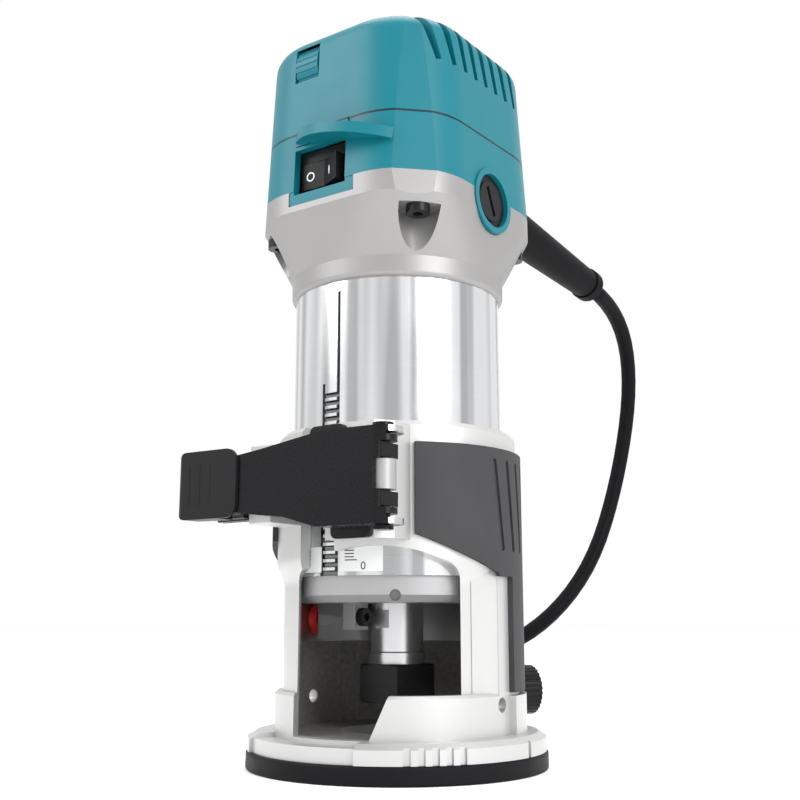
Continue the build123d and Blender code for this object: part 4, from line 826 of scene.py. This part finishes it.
@dataclass
class Cord:
    """The mains cord: out of the guard, down behind the tool and round its coil to the plug."""

    diameter: float = 0.0062
    length: float = 2.5
    centre: tuple[float, float] = (-0.058, 0.086)
    lead: tuple[Point, ...] = (
        (0.0156, 0.110, 0.1734), (0.01613, 0.134, 0.17057), (0.010, 0.160, 0.146), (0.0, 0.164, 0.103),
        (-0.009, 0.151, 0.062), (-0.027, 0.130, 0.035),
    )
    heading: float = 150.0
    tail: tuple[tuple[float, float], ...] = ((0.014, 0.0040), (0.028, 0.0076), (0.040, 0.0080))
    columns: tuple[float, float, float] = (0.0279, 0.0341, 0.0403)
    arrival: tuple[tuple[float, float, float], ...] = (
        (83, 0.0343, 0.0279), (100, 0.0312, 0.0272), (120, 0.0288, 0.0246),
    )
    landing: float = 0.0034
    swell: float = 1.035
    spacing: float = 0.0015
    sides: int = 12

    def schedule(self) -> list[tuple[float, float, float]]:
        """Angle, radius and height where the cord changes place: it fills one column after another."""
        inner, middle, outer = self.columns
        layer = [self.diameter * (index + 0.5) for index in range(4)]
        stops = [*self.arrival, (140, inner, layer[3])]
        for turn, index in ((1, 2), (2, 1), (3, 0)):
            stops += [(360 * turn + 110, inner, layer[index + 1]), (360 * turn + 140, inner, layer[index])]
        stops += [(360 * 4 + 83, inner, layer[0]), (360 * 4 + 110, middle, layer[0])]
        for turn, index in ((5, 1), (6, 2), (7, 3)):
            stops += [(360 * turn + 56, middle, layer[index - 1]), (360 * turn + 83, middle, layer[index])]
        stops += [(360 * 8 + 30, middle, layer[3]), (360 * 8 + 56, outer, layer[3])]
        for turn, index in ((8, 2), (9, 1), (10, 0)):
            stops += [(360 * turn + 75, outer, layer[index + 1]), (360 * turn + 100, outer, layer[index])]
        return [*stops, (360 * 11 + self.heading - 90, outer, self.landing)]

    def coil(self) -> list[Point]:
        """Control points round the coil, twelve to a turn.

        The spline cuts inside its control points, so those between the ends stand out by the swell.

        Returns:
            Points in the row frame.
        """
        stops, points = self.schedule(), []
        first, last = stops[0][0], stops[-1][0]
        count = round((last - first) / 30)
        for index in range(count + 1):
            angle = first + (last - first) * index / count
            for (a0, r0, z0), (a1, r1, z1) in zip(stops, stops[1:]):
                if a0 <= angle <= a1 + 1e-6:
                    share = (angle - a0) / (a1 - a0)
                    reach = (r0 + (r1 - r0) * share) * (1.0 if index in (0, count) else self.swell)
                    turn = math.radians(angle)
                    across = self.centre[0] + reach * math.cos(turn)
                    away = self.centre[1] + reach * math.sin(turn)
                    points.append((across, away, z0 + (z1 - z0) * share))
                    break
        return points

    def route(self) -> list[Point]:
        """All control points from the guard to the plug."""
        turns = self.coil()
        heading = math.radians(self.heading)
        across, away = math.cos(heading), math.sin(heading)
        end = turns[-1]
        after = [(end[0] + run * across, end[1] + run * away, height) for run, height in self.tail]
        return [*self.lead, *turns, *after]

    def line(self) -> list[Vector]:
        """Points along the route's smooth spline."""
        curve = bpy.data.curves.new("cord_line", "CURVE")
        curve.dimensions, curve.resolution_u = "3D", 6
        spline = curve.splines.new("NURBS")
        route = self.route()
        spline.points.add(len(route) - 1)
        for target, point in zip(spline.points, route):
            target.co = (*point, 1.0)
        spline.order_u, spline.use_endpoint_u = 3, True
        points = [vertex.co.copy() for vertex in baked(bpy.data.objects.new("cord_line", curve)).vertices]
        kept = [points[0]]
        for point in points[1:]:
            if (point - kept[-1]).length > self.spacing:
                kept.append(point)
        return kept

    def tube(self, line: Sequence[Vector]) -> bpy.types.Mesh:
        """Sweep a closed round tube along a line.

        Args:
            line: its centreline.

        Returns:
            The tube's mesh.
        """
        work = bmesh.new()
        rings, side = [], Vector((1, 0, 0))
        for index, point in enumerate(line):
            ahead = line[min(index + 1, len(line) - 1)] - line[max(index - 1, 0)]
            ahead.normalize()
            side = (side - ahead * side.dot(ahead)).normalized()
            other = ahead.cross(side)
            rings.append([
                work.verts.new(point + (side * math.cos(turn) + other * math.sin(turn)) * self.diameter / 2)
                for turn in (2 * math.pi * step / self.sides for step in range(self.sides))
            ])
        for first, second in zip(rings, rings[1:]):
            for step in range(self.sides):
                after = (step + 1) % self.sides
                face = work.faces.new((first[step], first[after], second[after], second[step]))
                face.smooth = True
        work.faces.new(rings[0])
        work.faces.new(list(reversed(rings[-1])))
        return finished(work, "mains_cord")

    def build(self, shop: Workshop, nodes: dict[str, bpy.types.Object]) -> None:
        """Make the cord, and hide the CAD cord nodes it stands in for."""
        line = self.line()
        mesh = self.tube(line)
        mesh.materials.append(shop.materials["cord"])
        cord = bpy.data.objects.new("mains_cord", mesh)
        bpy.context.scene.collection.objects.link(cord)
        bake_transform(cord)
        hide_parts("cord_lead", "cord_coil", "cord_tail")
        LOG.info("piece mains_cord, %d points", len(line))


@dataclass
class Studio:
    """Pale floor, soft lights and the camera."""

    lens: float = 49.49
    sensor: float = 36.0
    place: Point = (0.2019, -0.2779, 0.0426)
    tilt: float = 11.319
    heading: float = 35.857
    aim: Point = (0, 0, 0.11)
    floor_reach: float = 12.0
    floor_colour: Colour = (0.99, 0.99, 0.99)
    lights: tuple[Lamp, ...] = (
        Lamp("key_light", (-0.55, -0.75, 0.75), 0.8, 6.0),
        Lamp("side_light", (0.95, -0.25, 0.45), 0.6, 7.0),
        Lamp("top_light", (0.0, 0.1, 1.2), 1.0, 8.0),
    )

    def floor(self) -> None:
        """Lay a wide plane just under the tool."""
        mesh = bpy.data.meshes.new("floor")
        reach = self.floor_reach
        corners = [(-reach, -reach, 0), (reach, -reach, 0), (reach, reach, 0), (-reach, reach, 0)]
        mesh.from_pydata(corners, [], [(0, 1, 2, 3)])
        item = bpy.data.objects.new("floor", mesh)
        bpy.context.scene.collection.objects.link(item)
        tree = Tree("pale_floor")
        tree.set("Base Color", self.floor_colour)
        tree.set("Roughness", 1.0)
        tree.set("Specular IOR Level", 0.0)
        mesh.materials.append(tree.material)

    def light(self, spec: Lamp) -> None:
        """Hang one light, aimed at the tool."""
        lamp = bpy.data.lights.new(spec.name, "AREA")
        lamp.shape, lamp.size, lamp.energy = "DISK", spec.size, spec.power
        holder = bpy.data.objects.new(spec.name, lamp)
        holder.location = spec.place
        ray = Vector(self.aim) - Vector(spec.place)
        holder.rotation_euler = ray.to_track_quat("-Z", "Y").to_euler()
        bpy.context.scene.collection.objects.link(holder)

    def surround(self) -> None:
        """Light the tool evenly from a white world, shown as plain white."""
        world = bpy.data.worlds.new("soft_surround")
        world.use_nodes = True
        background = world.node_tree.nodes["Background"]
        background.inputs[0].default_value = (1.0, 1.0, 1.0, 1.0)
        background.inputs[1].default_value = 1.0
        bpy.context.scene.world = world
        bpy.context.scene.view_settings.view_transform = "Standard"

    def camera(self) -> None:
        """Set the camera at its place, looking a little up."""
        data = bpy.data.cameras.new("camera")
        data.lens, data.sensor_width, data.clip_start, data.clip_end = self.lens, self.sensor, 0.01, 50.0
        holder = bpy.data.objects.new("camera", data)
        holder.location = self.place
        holder.rotation_euler = (math.radians(90 + self.tilt), 0, math.radians(self.heading))
        bpy.context.scene.collection.objects.link(holder)
        bpy.context.scene.camera = holder

    def build(self) -> None:
        """Set the floor, the lights, the surroundings and the camera."""
        self.floor()
        for spec in self.lights:
            self.light(spec)
        self.surround()
        self.camera()


def main() -> None:
    """Load the frame, dress it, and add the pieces."""
    logging.basicConfig(level=logging.INFO, format="%(name)s: %(message)s")
    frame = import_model()
    palette = Palette()
    shop = Workshop(palette)
    shop.dress(frame["nodes"], palette)
    DepthScale().build(shop)
    RockerMarks().build(shop)
    PadRibs().build(shop)
    Cord().build(shop, frame["nodes"])
    Studio().build()
    bpy.context.view_layer.update()


if __name__ == "__main__":
    main()
